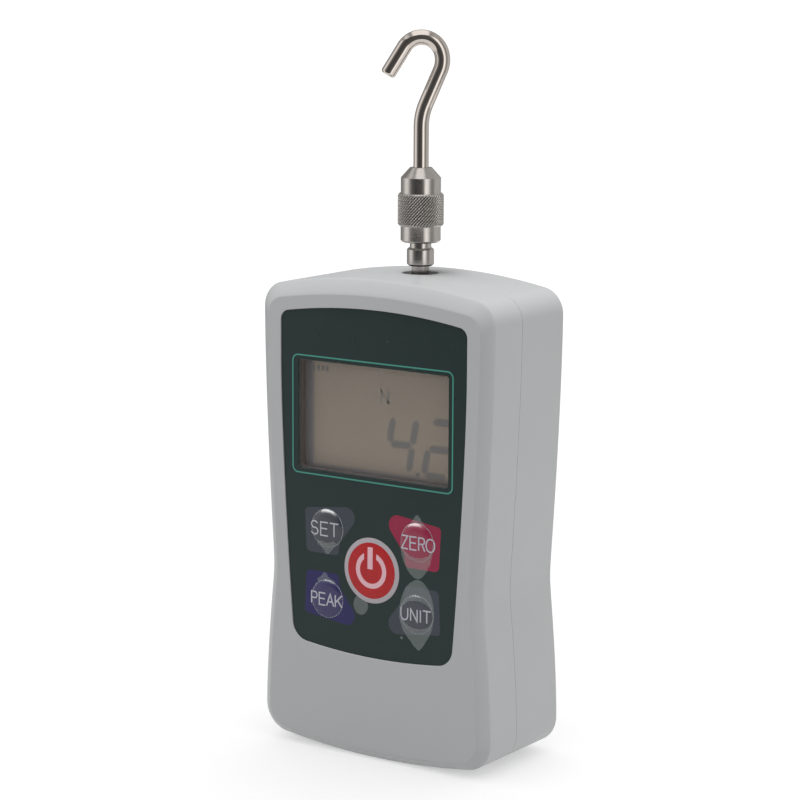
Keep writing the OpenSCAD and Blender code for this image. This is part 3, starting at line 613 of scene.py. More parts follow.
def flared(loop_at, r, d_end):
    """Cutter whose mouth, at depth 0, leaves an edge rounded by r. loop_at(t) is the loop grown by t."""
    rings = [at_depth(loop_at(widening), d) for d, widening in eased(r)]
    return loft([at_depth(loop_at(r), -1)] + rings + [at_depth(loop_at(0), d_end)])


def make_front():
    rings = [at_depth(bevel_outline(k), d) for k, d in bezier_bevel(12)]
    rings += [at_depth(inner_outline(t), PARTING_D - s) for t, s in parting_steps]
    obj = make_piece("front_shell", *loft(rings), "housing", smooth=False)
    cut(obj, prism(inner_outline(WALL), INNER_D, PARTING_D + 1))
    lip = prism(inner_outline(1.45), PARTING_D - 1, PARTING_D + LIP_H)
    rim = make_piece("rim", *lip, "housing", smooth=False)
    cut(rim, prism(inner_outline(WALL), PARTING_D - 2, PARTING_D + 3))
    rim_mesh = ([v.co.copy() for v in rim.data.vertices], [list(p.vertices) for p in rim.data.polygons])
    bpy.data.objects.remove(rim)
    join(obj, rim_mesh)
    posts = [post(x, z, CASE_POST_R, INNER_D - 0.5, PARTING_D + LIP_H) for x, z in CASE_POSTS]
    posts += [post(x, z, BOARD_POST_R, INNER_D - 0.5, BOARD_POST_D) for x, z in BOARD_POSTS]
    join(obj, merged(posts))
    cut(obj, flared(lambda t: panel_outline(-t), 0.14, RECESS_D))
    cut(obj, prism(window_loop, 0, INNER_D + 1))
    holes = [post(x, z, r + 0.35, 0, RECESS_D + 0.9) for x, z, r in KEYS.values()]
    cut(obj, merged(holes))
    holes = [post(x, z, r - 3.4, RECESS_D, INNER_D + 1) for x, z, r in KEYS.values()]
    holes += [post(x, z, 1.5, 8, PARTING_D + 3) for x, z in CASE_POSTS]
    holes += [post(x, z, 1.05, 5, BOARD_POST_D + 1) for x, z in BOARD_POSTS]
    cut(obj, merged(holes))
    finish_cover(obj, "front_cover")


def turned_flare(r, edge):
    """Radius and height below the surface of a hole whose edge is rounded."""
    return [(r + edge, -3)] + [(r + widening, d) for d, widening in eased(edge)]


def make_rear():
    jack_low, jack_high = box_mm("power_jack")
    jack_z = (jack_low.z + jack_high.z) / 2
    jack_d = (jack_low.y + jack_high.y) / 2 - FRONT
    data_low, data_high = box_mm("data_port")
    rings = [at_depth(inner_outline(t), PARTING_D + s) for t, s in parting_steps[::-1]]
    rings += [at_depth(bevel_outline(k), BODY_D - d) for k, d in bezier_bevel(12)[::-1]]
    obj = make_piece("rear_shell", *loft(rings), "housing", smooth=False)
    cut(obj, prism(inner_outline(WALL), PARTING_D - 1, BODY_D - WALL))
    cut(obj, prism(inner_outline(1.35), PARTING_D - 1, PARTING_D + LIP_SEAT_H))
    posts = [post(x, z, CASE_POST_R, PARTING_D + LIP_SEAT_H, BODY_D - WALL + 0.5) for x, z in CASE_POSTS]
    posts += [post(x, z, BRACKET_POST_R, BRACKET_POST_D, BODY_D - WALL + 0.5) for x, z in BRACKET_POSTS]
    posts += [post(x, z, INSERT_POST_R, BODY_D - 9.6, BODY_D - WALL + 0.5) for x, z in INSERTS]
    join(obj, merged(posts))
    holes = [post(x, z, 1.7, PARTING_D - 1, BODY_D + 1) for x, z in CASE_POSTS]
    holes += [post(x, z, INSERT_R, BODY_D - INSERT_DEPTH, BODY_D + 1) for x, z in INSERTS]
    cut(obj, merged(holes))
    seats = []
    for x, z in CASE_POSTS:
        profile = [(0, -3)] + turned_flare(COUNTERBORE_R, HOLE_EDGE_R)
        profile += [(COUNTERBORE_R, BODY_D - COUNTERBORE_D), (0, BODY_D - COUNTERBORE_D)]
        seats.append(turned(profile, 64, lambda a, b, h, x=x, z=z: place(x + a, BODY_D - h, z + b)))
    cut(obj, merged(seats))
    profile = [(0, -3)] + turned_flare(SPINDLE_HOLE_R, HOLE_EDGE_R) + [(SPINDLE_HOLE_R, 8), (0, 8)]
    cut(obj, turned(profile, 96, lambda a, b, h: place(a, AXIS_D + b, BODY_H - 0.02 - h)))
    wall_x = -body_half(jack_z)

    def from_left(a, b, h):
        return place(wall_x + h, jack_d + a, jack_z + b)

    seat = [(0, -3), (6.4, -3), (6.4, 0.7), (5, 0.7), (5, 9), (0, 9)]
    cut(obj, turned(seat, 96, from_left))
    gap = 0.1
    port = rectangle(data_low.z - gap, data_low.y - FRONT - gap, data_high.z + gap,
                     data_high.y - FRONT + gap, 0.5)
    cut(obj, loft([[place(x, d, z) for z, d in port] for x in (-BODY_W, -30)]))
    label = box_loop(*box_mm("rear_label"), -0.2, -0.2, 1.5)
    cut(obj, prism(label, BODY_D - LABEL_DEPTH, BODY_D + 1))
    finish_cover(obj, "rear_cover")


# ---- Printed film ----

DOME_POWER = 4


def film_level(x, z):
    return 0.0


def dome_level(key):
    """Height of a key's dome over the film, as a function of x and z."""
    cx, cz, r = KEYS[key]

    def level(x, z):
        f = min(1, math.hypot(x - cx, z - cz) / r)
        return DOME_H * (1 - f ** DOME_POWER)

    return level


def area_of(loop):
    return sum(a[0] * b[1] - b[0] * a[1] for a, b in zip(loop, loop[1:] + loop[:1])) / 2


def sheet_mesh(loops, keep, level, lift, sink, spacing=0.0):
    """Thin closed sheet: the part of the front plane for which keep(set of loops it lies in) is true.

    level(x, z) is the height of the surface it follows; the sheet reaches lift above and sink below.
    """
    coords, faces = [], []
    for loop in loops:
        points = loop if area_of(loop) > 0 else loop[::-1]
        faces.append(list(range(len(coords), len(coords) + len(points))))
        coords += [Vector(p) for p in points]
    if spacing:
        xs = [p.x for p in coords]
        zs = [p.y for p in coords]
        for i in range(int((max(xs) - min(xs)) / spacing)):
            for j in range(int((max(zs) - min(zs)) / spacing)):
                offset = 0.5 * (j % 2)
                coords.append(Vector((min(xs) + (i + 0.3 + offset) * spacing,
                                      min(zs) + (j + 0.5) * spacing)))
    points, _, triangles, _, _, origins = delaunay_2d_cdt(coords, [], faces, 0, 1e-5)
    kept = [t for t, o in zip(triangles, origins) if o and keep(set(o))]
    used = sorted({i for t in kept for i in t})
    index = {i: k for k, i in enumerate(used)}
    count = len(used)
    verts = []
    for side in (lift, -sink):
        for i in used:
            x, z = points[i]
            verts.append(place(x, FILM_D - level(x, z) - side, z))
    out = []
    edges = {}
    for t in kept:
        a, b, c = (index[i] for i in t)
        out.append([a, b, c])
        out.append([c + count, b + count, a + count])
        for p, q in ((a, b), (b, c), (c, a)):
            edges[(p, q)] = edges.get((p, q), 0) + 1
    for p, q in edges:
        if (q, p) not in edges:
            out.append([q, p, p + count, q + count])
    return verts, out




def on_film(name, mesh, look, *replaced):
    add_piece(name, mesh, look, "housing", "panel_film", *replaced)


def on_key(name, key, mesh, look, *replaced):
    add_piece(name, mesh, look, key + "_button", KEY_SLOTS[key], *replaced)


def on_glass(name, mesh, look, *replaced):
    add_piece(name, mesh, look, "housing", "lcd_glass", *replaced)


KEY_GAP = 0.05
PRINT, OVER, TOP = 0.012, 0.02, 0.032
key_loops = {name: circle(x, z, r, 128) for name, (x, z, r) in KEYS.items()}
gap_loops = {name: circle(x, z, r + KEY_GAP, 128) for name, (x, z, r) in KEYS.items()}
POWER_X, POWER_Z = KEYS["power"][:2]

# The coloured patch behind one key, for the upper left one; the others are its mirror images.
PATCH = [(-25.6, 77.0, 1.4), (-2.25, 79.9, 4.2), (-12.1, 67.3, 3.0), (-12.7, 63.2, 1.4), (-24.9, 63.2, 1.7)]
PATCHES = {"set": (1, 1, "grey_patch"), "zero": (-1, 1, "crimson_patch"), "peak": (1, -1, "blue_patch"),
           "unit": (-1, -1, "grey_patch")}
DOME_LOOKS = {"set": "grey_dome", "zero": "crimson_dome", "peak": "blue_dome", "unit": "grey_dome"}
KEY_SLOTS = {"power": "key_red", "set": "key_grey", "zero": "key_crimson", "peak": "key_blue",
             "unit": "key_grey"}


def smooth_loop(points, steps=6):
    """Closed smooth curve through a few points."""
    out = []
    n = len(points)
    for i in range(n):
        a, b, c, d = (Vector(points[(i + k - 1) % n]) for k in range(4))
        for s in range(steps):
            t = s / steps
            p = 0.5 * (2 * b + (c - a) * t + (2 * a - 5 * b + 4 * c - d) * t * t
                       + (3 * b - a - 3 * c + d) * t ** 3)
            out.append((p.x, p.y))
    return out


# Places where the film has lifted round a key, and the part in each that still touches. The lighter sheets
# drawn there are painted sheen.
LIFTED = {
    "set": (smooth_loop([(-20.9, 66.6), (-18.9, 64.9), (-17.4, 63.3), (-16.4, 63.3), (-14.8, 65.0),
                         (-13.2, 66.9), (-17.1, 67.6)]), ellipse(-17.2, 73.2, 5.2, 6.4)),
    "zero": (smooth_loop([(16.8, 80.0), (15.0, 77.9), (12.2, 74.6), (11.0, 71.2), (11.0, 67.8),
                          (12.2, 64.4), (14.2, 61.5), (16.9, 60.1), (19.3, 61.3), (21.2, 64.3),
                          (22.5, 68.2), (22.7, 72.0), (21.3, 75.0), (19.0, 77.7)]),
             ellipse(16.9, 72.0, 6.3, 5.3)),
    "peak": (smooth_loop([(-20.9, 54.4), (-19.3, 55.8), (-18.3, 57.0), (-17.5, 57.0), (-16.4, 55.8),
                          (-14.0, 54.6), (-17.4, 53.4)]), ellipse(-17.4, 49.2, 5.9, 5.3)),
    "unit": (smooth_loop([(17.5, 59.9), (14.2, 58.4), (12.0, 55.6), (10.7, 51.6), (10.5, 47.0),
                          (12.0, 43.2), (14.6, 40.3), (17.0, 38.1), (18.3, 38.2), (20.4, 41.0),
                          (22.4, 44.5), (23.2, 48.8), (22.8, 53.4), (20.7, 57.8)]),
             ellipse(17.0, 48.9, 5.9, 4.4)),
}


def make_film():
    loops = [panel_outline(0.04), window_loop, *gap_loops.values()]
    mesh = sheet_mesh(loops, lambda o: o == {0}, film_level, 0, FILM_T)
    on_film("panel_film", mesh, "film", "overlay_film")
    line_w = 0.45
    x0, z0, x1, z1, r = -30.4, 87.7, 29.7, 125.15, 2.2
    outer = rectangle(x0, z0, x1, z1, r)
    inner = rectangle(x0 + line_w, z0 + line_w, x1 - line_w, z1 - line_w, r - line_w)
    mesh = sheet_mesh([outer, inner], lambda o: o == {0}, film_level, PRINT, PRINT)
    on_film("window_line", mesh, "line")
    for name, (side, flip, look) in PATCHES.items():
        x, z, r = KEYS[name]
        corners = [(side * a, POWER_Z + flip * (b - POWER_Z), c) for a, b, c in PATCH]
        loops = [rounded(corners), gap_loops[name], gap_loops["power"]]
        mesh = sheet_mesh(loops, lambda o: o == {0}, film_level, PRINT, PRINT)
        on_film(name + "_patch", mesh, look)
        # The lifted film's lighter sheets, on the film and on the dome, are painted sheen.
        lifted, held = LIFTED[name]
        loops = [lifted, held, gap_loops[name], key_loops[name]]
        mesh = sheet_mesh(loops, lambda o: o == {0}, film_level, OVER, PRINT)
        on_film(name + "_lifted_film_painted_sheen", mesh, "bubble")
        loops += [circle(x, z, r - t, 128) for t in (0.15, 0.35, 0.6, 0.9, 1.3)]
        mesh = sheet_mesh(loops, lambda o: {0, 3} <= o and 1 not in o, dome_level(name), OVER, PRINT, 0.3)
        on_key(name + "_lifted_film_on_key", name, mesh, "bubble")
    # Spots of lifted film beside the power key, drawn lighter as painted sheen.
    loops = [ellipse(-4.1, 48.9, 2.7, 3.2), gap_loops["power"], circle(11.3, 40.8, 0.5, 24),
             circle(5.6, 43.3, 0.16, 12)]
    mesh = sheet_mesh(loops, lambda o: 1 not in o, film_level, OVER, PRINT)
    on_film("lifted_film_spots", mesh, "bubble")


# ---- Keys ----


def make_key(name, look):
    x, z, r = KEYS[name]
    steps = 18
    profile = [(0, RECESS_D), (r - 0.08, RECESS_D), (r, RECESS_D - 0.08)]
    for i in range(steps + 1):
        f = 1 - i / steps
        f = f ** 0.7
        profile.append((r * f, FILM_D - DOME_H * (1 - f ** DOME_POWER)))
    mesh = turned(profile, 96, lambda a, b, h: place(x + a, h, z + b))
    on_key(name + "_key_dome", name, mesh, look, name + "_key")


def make_keys():
    make_key("power", "key_ring")
    for name, look in DOME_LOOKS.items():
        make_key(name, look)
        x, z, r = KEYS[name]
        loops = [circle(x, z, r - t, 128) for t in (0.02, 0.11, 0.2)]
        mesh = sheet_mesh(loops, lambda o: 2 not in o, dome_level(name), PRINT, PRINT)
        on_key(name + "_key_edge", name, mesh, "edge_line")
    level = dome_level("power")
    mesh = sheet_mesh([circle(POWER_X, POWER_Z, 8.8, 128)], lambda o: True, level, PRINT, PRINT, 0.8)
    on_key("power_key_face", "power", mesh, "key_red")
    bar_x, bar_half, gap_half = POWER_X - 0.35, 0.95, 2.3
    top, low, cut_top = POWER_Z + 7.35, POWER_Z + 0.45, POWER_Z + 8
    loops = [
        circle(POWER_X, POWER_Z + 0.1, 5.7, 128),
        circle(POWER_X, POWER_Z + 0.1, 4.15, 128),
        [(bar_x - gap_half, POWER_Z + 2), (bar_x + gap_half, POWER_Z + 2),
         (bar_x + gap_half, cut_top), (bar_x - gap_half, cut_top)],
        rectangle(bar_x - bar_half, low, bar_x + bar_half, top, 0.12),
    ]
    mesh = sheet_mesh(loops, lambda o: 3 in o or o == {0}, level, OVER, PRINT, 0.8)
    on_key("power_symbol", "power", mesh, "symbol")


# ---- Legends ----


def oval(cx, cy, rx, ry, a0, a1, n=14):
    return [(cx + rx * x, cy + ry * y) for x, y in arc(0, 0, 1, a0, a1, n)]


GLYPHS = {
    "S": [oval(0.5, 0.75, 0.46, 0.25, 25, 270) + oval(0.5, 0.26, 0.5, 0.26, 80, -160)],
    "E": [[(1, 1), (0, 1), (0, 0), (1, 0)], [(0, 0.53), (0.9, 0.53)]],
    "T": [[(0, 1), (1, 1)], [(0.5, 1), (0.5, 0)]],
    "Z": [[(0.08, 1), (0.98, 1), (0, 0), (1, 0)]],
    "R": [[(0, 0), (0, 1), (0.6, 1)] + oval(0.6, 0.76, 0.36, 0.24, 80, -80) + [(0.6, 0.52), (0, 0.52)],
          [(0.55, 0.52), (1, 0)]],
    "O": [oval(0.5, 0.5, 0.5, 0.5, 90, 450, 40)],
    "P": [[(0, 0), (0, 1), (0.6, 1)] + oval(0.6, 0.74, 0.38, 0.26, 80, -80) + [(0.6, 0.48), (0, 0.48)]],
    "A": [[(0, 0), (0.5, 1), (1, 0)], [(0.19, 0.36), (0.81, 0.36)]],
    "K": [[(0, 0), (0, 1)], [(0.95, 1), (0, 0.36)], [(0.34, 0.6), (1, 0)]],
    "U": [[(0, 1), (0, 0.36)] + oval(0.5, 0.36, 0.5, 0.36, 190, 350) + [(1, 0.36), (1, 1)]],
    "N": [[(0, 0), (0, 1), (1, 0), (1, 1)]],
    "I": [[(0.5, 0), (0.5, 1)]],
}
STROKE = 0.43
# For each key, the legend's base and top height and each letter's left and right edge.
LEGENDS = {
    "set": (69.0, 73.2, [("S", -23.1, -20.3), ("E", -19.2, -16.4), ("T", -15.7, -12.5)]),
    "zero": (69.1, 73.1, [("Z", 11.2, 13.7), ("E", 14.5, 16.9), ("R", 17.7, 19.9), ("O", 20.4, 23.3)]),
    "peak": (46.8, 50.6, [("P", -23.0, -20.6), ("E", -19.8, -17.4), ("A", -16.9, -14.2),
                          ("K", -13.6, -11.2)]),
    "unit": (46.8, 50.6, [("U", 11.1, 13.8), ("N", 14.9, 17.3), ("I", 18.3, 18.7), ("T", 19.4, 22.2)]),
}


def resampled(path, step):
    out = [Vector(path[0])]
    for a, b in zip(path, path[1:]):
        a, b = Vector(a), Vector(b)
        count = max(1, math.ceil((b - a).length / step))
        out += [a + (b - a) * (k + 1) / count for k in range(count)]
    return out


def offsets(points, half):
    """Left and right points of a ribbon, with mitred corners."""
    out = []
    last = len(points) - 1
    closed = (points[0] - points[-1]).length < 0.01
    for i, p in enumerate(points):
        before = points[i] - points[i - 1] if i else (points[-1] - points[-2] if closed else points[1] - p)
        after = points[i + 1] - p if i < last else (points[1] - points[0] if closed else before)
        n1 = Vector((-before.y, before.x)).normalized()
        n2 = Vector((-after.y, after.x)).normalized()
        mid = (n1 + n2).normalized()
        reach = half / max(0.45, mid.dot(n1))
        out.append((p + mid * reach, p - mid * reach))
    return out


def ribbon(pairs, level, lift, sink):
    rings = []
    for left, right in pairs:
        corners = ((left, lift), (right, lift), (right, -sink), (left, -sink))
        rings.append([place(p.x, FILM_D - level(p.x, p.y) - side, p.y) for p, side in corners])
    return loft(rings)


def make_legends():
    for name, (z0, z1, letters) in LEGENDS.items():
        x, z, r = KEYS[name]
        parts = {True: [], False: []}
        for letter, x0, x1 in letters:
            for stroke in GLYPHS[letter]:
                path = [(x0 + (x1 - x0) * u, z0 + (z1 - z0) * v) for u, v in stroke]
                points = resampled(path, 0.3)
                pairs = offsets(points, STROKE / 2)
                inside = [math.hypot(p.x - x, p.y - z) < r - 0.05 for p in points]
                start = 0
                for i in range(1, len(points)):
                    if inside[i] != inside[start] or i == len(points) - 1:
                        run = pairs[start:i + 1]
                        level = dome_level(name) if inside[start] else film_level
                        parts[inside[start]].append(ribbon(run, level, TOP, PRINT))
                        start = i
        on_key(name + "_legend", name, merged(parts[True]), "legend")
        on_film(name + "_legend_ends", merged(parts[False]), "legend")


# ---- Display ----


GLASS_EDGE = 0.15
FACE_D = 0.02
SEAL_GAP, FILM_WINDOW_GAP = 0.25, 0.01


def glass_plate(low, high, d0, d1, corner):
    """Plate with softened edges, as wide and high as a node's box, between two depths."""
    small, full = (box_loop(low, high, t, t, corner) for t in (GLASS_EDGE, 0))
    return loft([at_depth(small, d0), at_depth(full, d0 + GLASS_EDGE), at_depth(full, d1 - GLASS_EDGE),
                 at_depth(small, d1)])


def window_inset(gap, corner):
    return rectangle(-WINDOW_HALF_W + gap, WINDOW_Z - WINDOW_HALF_H + gap, WINDOW_HALF_W - gap,
                     WINDOW_Z + WINDOW_HALF_H - gap, corner)


def make_glass(low, high, face):
    d0, d1 = low.y - FRONT, high.y - FRONT
    on_glass("display_glass", glass_plate(low, high, d0 + 0.1, d1, 0.4), "lcd_edge", "lcd_panel")
    on_glass("display_face", prism(face, d0 + FACE_D, d0 + 0.11), "lcd")


def make_shade(high, face, d):
    """The painted shade along the left and lower edges of the display's face, which is at depth d."""
    for look, left, base, lift in (("lcd_fade", -24.7, 90.9, 0.008), ("lcd_border", -25.5, 90.1, 0.014)):
        lit = rectangle(left, base, high.x - 1, high.z - 2.4, 0.6)
        mesh = sheet_mesh([face, lit], lambda o: o == {0}, lambda x, z: FILM_D - d, lift, 0)
        on_glass("display_" + look, mesh, look)


def make_window_frame():
    """The front cover's edge round the window, drawn dark as painted shade, and the seal behind it."""
    middle = (RECESS_D + INNER_D) / 2 - 0.15
    hole = window_inset(SEAL_GAP, 1.1)
    for name, look, start, end in (("window_wall_shade_sheet", "bezel", RECESS_D, middle),
                                   ("window_bezel_seal", "foam", middle, INNER_D)):
        mesh = sheet_mesh([window_loop, hole], lambda o: o == {0}, lambda x, z: FILM_D - start, -0.01,
                          end - start - 0.01)
        add_piece(name, mesh, look, "housing", "dark_plastic")


def make_display():
    low, high = box_mm("lcd_panel")
    face = box_loop(low, high, 0.4, 1.2, 0.3)
    face_d = low.y - FRONT + FACE_D
    make_glass(low, high, face)
    make_segments(face_d)
    make_shade(high, face, face_d)
    make_window_frame()
    lens = glass_plate(lens_low, lens_high, lens_low.y - FRONT, lens_high.y - FRONT, 0.8)
    film = prism(window_inset(FILM_WINDOW_GAP, 1.3), FILM_D + 0.02, FILM_D + 0.2)
    add_piece("clear_window", merged([lens, film]), "clear", "housing", "clear_lens", "display_window")


SEGMENTS = {
    "a": ((0, 1), (1, 1)), "b": ((1, 0.5), (1, 1)), "c": ((1, 0), (1, 0.5)), "d": ((0, 0), (1, 0)),
    "e": ((0, 0), (0, 0.5)), "f": ((0, 0.5), (0, 1)), "g": ((0, 0.5), (1, 0.5)),
}
DIGITS = {"4": "bcfg", "2": "abdeg"}
SLANT = 0.17


def segment_loop(name, x0, z0, w, h, thick, grow):
    (u0, v0), (u1, v1) = SEGMENTS[name]
    a, b = Vector((x0 + w * u0, z0 + h * v0)), Vector((x0 + w * u1, z0 + h * v1))
    along = (b - a).normalized()
    side = Vector((-along.y, along.x))
    half = thick / 2 + grow
    gap = 0.35 - grow
    a, b = a + along * gap, b - along * gap
    points = [a, a + along * half + side * half, b - along * half + side * half, b,
              b - along * half - side * half, a + along * half - side * half]
    return [(p.x + SLANT * (p.y - z0), p.y) for p in points]


def bar(p, q, half):
    """Outline of a straight stroke from p to q."""
    p, q = Vector(p), Vector(q)
    along = (q - p).normalized() * half
    side = Vector((-along.y, along.x))
    return [p - along + side, q + along + side, q + along - side, p - along - side]


SEEN_X, SEEN_Z = -3.1, -1.0
DIGIT_W, DIGIT_H, DIGIT_STROKE, DIGIT_Z = 8.5, 16.9, 2.1, 91.5
UNIT_MARK = (0.5, 112.4, 2.6, 3.6)
MARK_LIFT = 0.02


def make_segments(d):
    """The reading, as a wider pale rim that paints each segment's soft shadow and blur, and a darker middle,
    on the display's face at depth d.
    """
    digits = [("4", 5.3 + SEEN_X), ("2", 19.5 + SEEN_X)]
    for look, grow, lift in (("segment_soft", 0.38, 0.02), ("segment", 0.0, 0.028)):
        loops = [segment_loop(name, x, DIGIT_Z, DIGIT_W, DIGIT_H, DIGIT_STROKE, grow)
                 for digit, x in digits for name in DIGITS[digit]]
        parts = [prism(loop, d - lift, d) for loop in loops]
        on_glass("display_" + look, merged(parts), look)
    blocks = [rectangle(x, 120.8 + SEEN_Z, x + 1.1, 122.6 + SEEN_Z, 0.3)
              for x in (-25.7, -23.8, -22.1, -20.5)]
    blocks.append(rectangle(13.5, 90.9, 14.8, 92.2, 0.3))
    unit_x, unit_z, unit_w, unit_h = UNIT_MARK
    strokes = []
    for stroke in GLYPHS["N"]:
        points = [(unit_x + unit_w * u, unit_z + unit_h * v) for u, v in stroke]
        strokes += [bar(p, q, 0.35) for p, q in zip(points, points[1:])]
    for name, look, loops in (("display_blocks", "segment", blocks),
                              ("display_unit_mark", "mark", strokes)):
        parts = [prism(loop, d - MARK_LIFT, d) for loop in loops]
        on_glass(name, merged(parts), look)


# ---- Spindle, chuck and hook ----


def soften(corners, r=0.18):
    return rounded([(x, y, r) for x, y in corners], 4, closed=False)


def make_spindle():
    z0, z1 = spindle_low.z, spindle_high.z
    thread_top = 131.0
    profile = soften([
        (0, z0), (2.35, z0), (2.95, z0 + 0.6), (2.95, thread_top), (2.77, thread_top), (2.77, 152.2),
        (3.7, 152.2), (4.2, 152.7), (4.2, 157.2), (3.7, 157.7), (3.33, 157.7), (3.33, 159.4),
        (2.95, 159.4), (2.95, z1 - 0.6), (2.35, z1), (0, z1),
    ], 0.12)
    obj = make_piece("spindle_turned", *turned(profile, 96, on_spindle), "nickel", sharp=TURNED_SHARP)
    finish_piece(obj, "spindle_shaft", "nickel_steel", "spindle")


CHUCK_Z0, CHUCK_Z1 = (box_mm("chuck_sleeve")[i].z for i in (0, 1))
BAND_Z0, BAND_Z1 = CHUCK_Z0 + 5.0, CHUCK_Z0 + 15.1
KNURL_R, KNURL_DEPTH, KNURL_PITCHES, KNURL_EDGE = 7.18, 0.5, 44, 0.6


def ridge(t):
    return abs(2 * (t - math.floor(t)) - 1)


def make_chuck():
    r = 6.2
    body = soften([
        (4.4, CHUCK_Z0), (r - 0.6, CHUCK_Z0), (r, CHUCK_Z0 + 0.6), (r, BAND_Z0),
        (KNURL_R - 0.9, BAND_Z0)], 0.12)
    upper = soften([
        (KNURL_R - 0.9, BAND_Z1), (r, BAND_Z1), (r, CHUCK_Z0 + 19.9), (3.4, CHUCK_Z1), (2.46, CHUCK_Z1),
        (2.46, CHUCK_Z1 - 3.8), (4.4, CHUCK_Z1 - 3.8), (4.4, CHUCK_Z0)], 0.12)
    n = KNURL_PITCHES * 6
    rows = 72
    pitch_h = 2 * math.pi * KNURL_R / KNURL_PITCHES

    def plain_rows(profile):
        return [on_spindle(x, y, z) for r, z in profile for x, y in circle(0, 0, r, n)]

    verts = plain_rows(body[:-1])
    base = len(body) - 1
    for j in range(rows + 1):
        z = BAND_Z0 + (BAND_Z1 - BAND_Z0) * j / rows
        to_edge = min(z - BAND_Z0, BAND_Z1 - z)
        limit = KNURL_R - max(0, KNURL_EDGE - to_edge)
        for i in range(n):
            a = i / 6 + (z - BAND_Z0) / pitch_h
            b = i / 6 - (z - BAND_Z0) / pitch_h
            radius = KNURL_R - KNURL_DEPTH * (1 - min(1, 1.15 * min(0.4 + 0.6 * ridge(a), ridge(b))))
            radius = min(radius, limit)
            angle = 2 * math.pi * i / n
            verts.append(on_spindle(radius * math.cos(angle), radius * math.sin(angle), z))
    verts += plain_rows(upper[1:-1])
    faces = bands(len(verts) // n, n, closed=True)
    obj = make_piece("chuck_turned", verts, faces, "nickel", smooth=False)
    obj.data.materials.append(M["knurl"])
    obj.data.materials.append(M["groove_painted_shade"])
    mark_sharp(obj, TURNED_SHARP)
    # Faces deep in the grooves get the darker groove material: painted shade in the knurl.
    inside = range(base, base + rows)
    axis = Vector(on_spindle(0, 0, 0))
    for index, polygon in enumerate(obj.data.polygons):
        row = index // n
        if row in inside:
            spots = [obj.data.vertices[v].co for v in polygon.vertices]
            depth = KNURL_R - 1000 * sum(math.hypot(c.x, c.y - axis.y) for c in spots) / len(spots)
            edge = min(spots[0].z * 1000 - BAND_Z0, BAND_Z1 - spots[0].z * 1000)
            polygon.material_index = 2 if depth > 0.6 * KNURL_DEPTH and edge > KNURL_EDGE else 1
            polygon.use_smooth = False
    finish_piece(obj, "chuck", "nickel_steel", "chuck_sleeve")


WIRE_R, HOOK_TURN = 2.35, math.radians(34.8)
BEND_R, SIDE_R, BEND_Z, TAIL_A, SIDE_A, LEAN_A, FOOT_R, TAIL_LEN = 6.26, 8.0, 215.8, 148.5, 20, 23, 18.0, 9.9
HEAD_R, HEAD_Z0, HEAD_T = 4.0, 175.2, 3.2


def hook_line():
    """Middle line of the wire in the hook's own plane, as (across, height)."""
    side_a, tail_a, lean = (math.radians(a) for a in (SIDE_A, TAIL_A, LEAN_A))
    side = Vector((0, BEND_Z)) + (BEND_R - SIDE_R) * Vector((math.cos(side_a), math.sin(side_a)))
    tail = Vector((0, BEND_Z)) + BEND_R * Vector((math.cos(tail_a), math.sin(tail_a)))
    down = Vector((-math.sin(tail_a), math.cos(tail_a)))
    lean_top = side + SIDE_R * Vector((math.cos(lean), -math.sin(lean)))
    meet_z = lean_top.y - lean_top.x / math.tan(lean)
    stem_top = meet_z - FOOT_R * math.tan(lean / 2)
    line = [(0, HEAD_Z0 + HEAD_T + (stem_top - HEAD_Z0 - HEAD_T) * i / 8) for i in range(8)]
    line += arc(FOOT_R, stem_top, FOOT_R, 180, 180 - LEAN_A, 14)
    line += arc(side.x, side.y, SIDE_R, -LEAN_A, SIDE_A, 20)
    line += arc(0, BEND_Z, BEND_R, SIDE_A, TAIL_A, 50)[1:]
    line += [tuple(tail + down * TAIL_LEN * i / 10) for i in range(1, 11)]
    return [Vector(p) for p in line]


def make_hook():
    line = hook_line()
    sides = 56
    tip = line[-1]
    run = (line[-1] - line[-2]).normalized()
    radii = [WIRE_R] * (len(line) - 1)
    line = line[:-1]
    rim = 0.9
    for i in range(6):
        turn = math.radians(90 * i / 5)
        line.append(tip - run * rim * (1 - math.sin(turn)))
        radii.append(WIRE_R - rim * (1 - math.cos(turn)))
    across_dir = Vector((math.cos(HOOK_TURN), math.sin(HOOK_TURN), 0))
    out_dir = Vector((-math.sin(HOOK_TURN), math.cos(HOOK_TURN), 0))
    rings = []
    for i, (p, r) in enumerate(zip(line, radii)):
        before, after = line[max(0, i - 1)], line[min(len(line) - 1, i + 1)]
        run = (after - before).normalized()
        normal = Vector((run.y, -run.x))
        rings.append([])
        for k in range(sides):
            a = 2 * math.pi * k / sides
            flat = p + normal * r * math.cos(a)
            offset = across_dir * flat.x + out_dir * r * math.sin(a)
            rings[-1].append(on_spindle(offset.x, offset.y, flat.y))
    head = soften([(0, HEAD_Z0), (HEAD_R, HEAD_Z0), (HEAD_R, HEAD_Z0 + HEAD_T), (0, HEAD_Z0 + HEAD_T)], 0.3)
    mesh = merged([loft(rings), turned(head, 64, on_spindle)])
    add_piece("hook_wire", mesh, "hook", "swivel_hook", "polished_steel", "hook")


# ---- Sockets in the left wall ----


def make_jack():
    low, high = box_mm("power_jack")
    z, d = (low.z + high.z) / 2, (low.y + high.y) / 2 - FRONT
    length = high.x - low.x
    profile = soften([(1.1, length), (4.9, length), (4.9, 1.4), (6.3, 1.4), (6.3, 0), (3.4, 0), (3.0, 0.4),
                      (3.0, 9.7), (1.1, 9.7)], 0.2)
    mesh = turned(profile, 80, lambda a, b, h: place(low.x + h, d + a, z + b), closed=True)
    add_piece("power_socket", mesh, "dark", "housing", "dark_plastic", "power_jack")


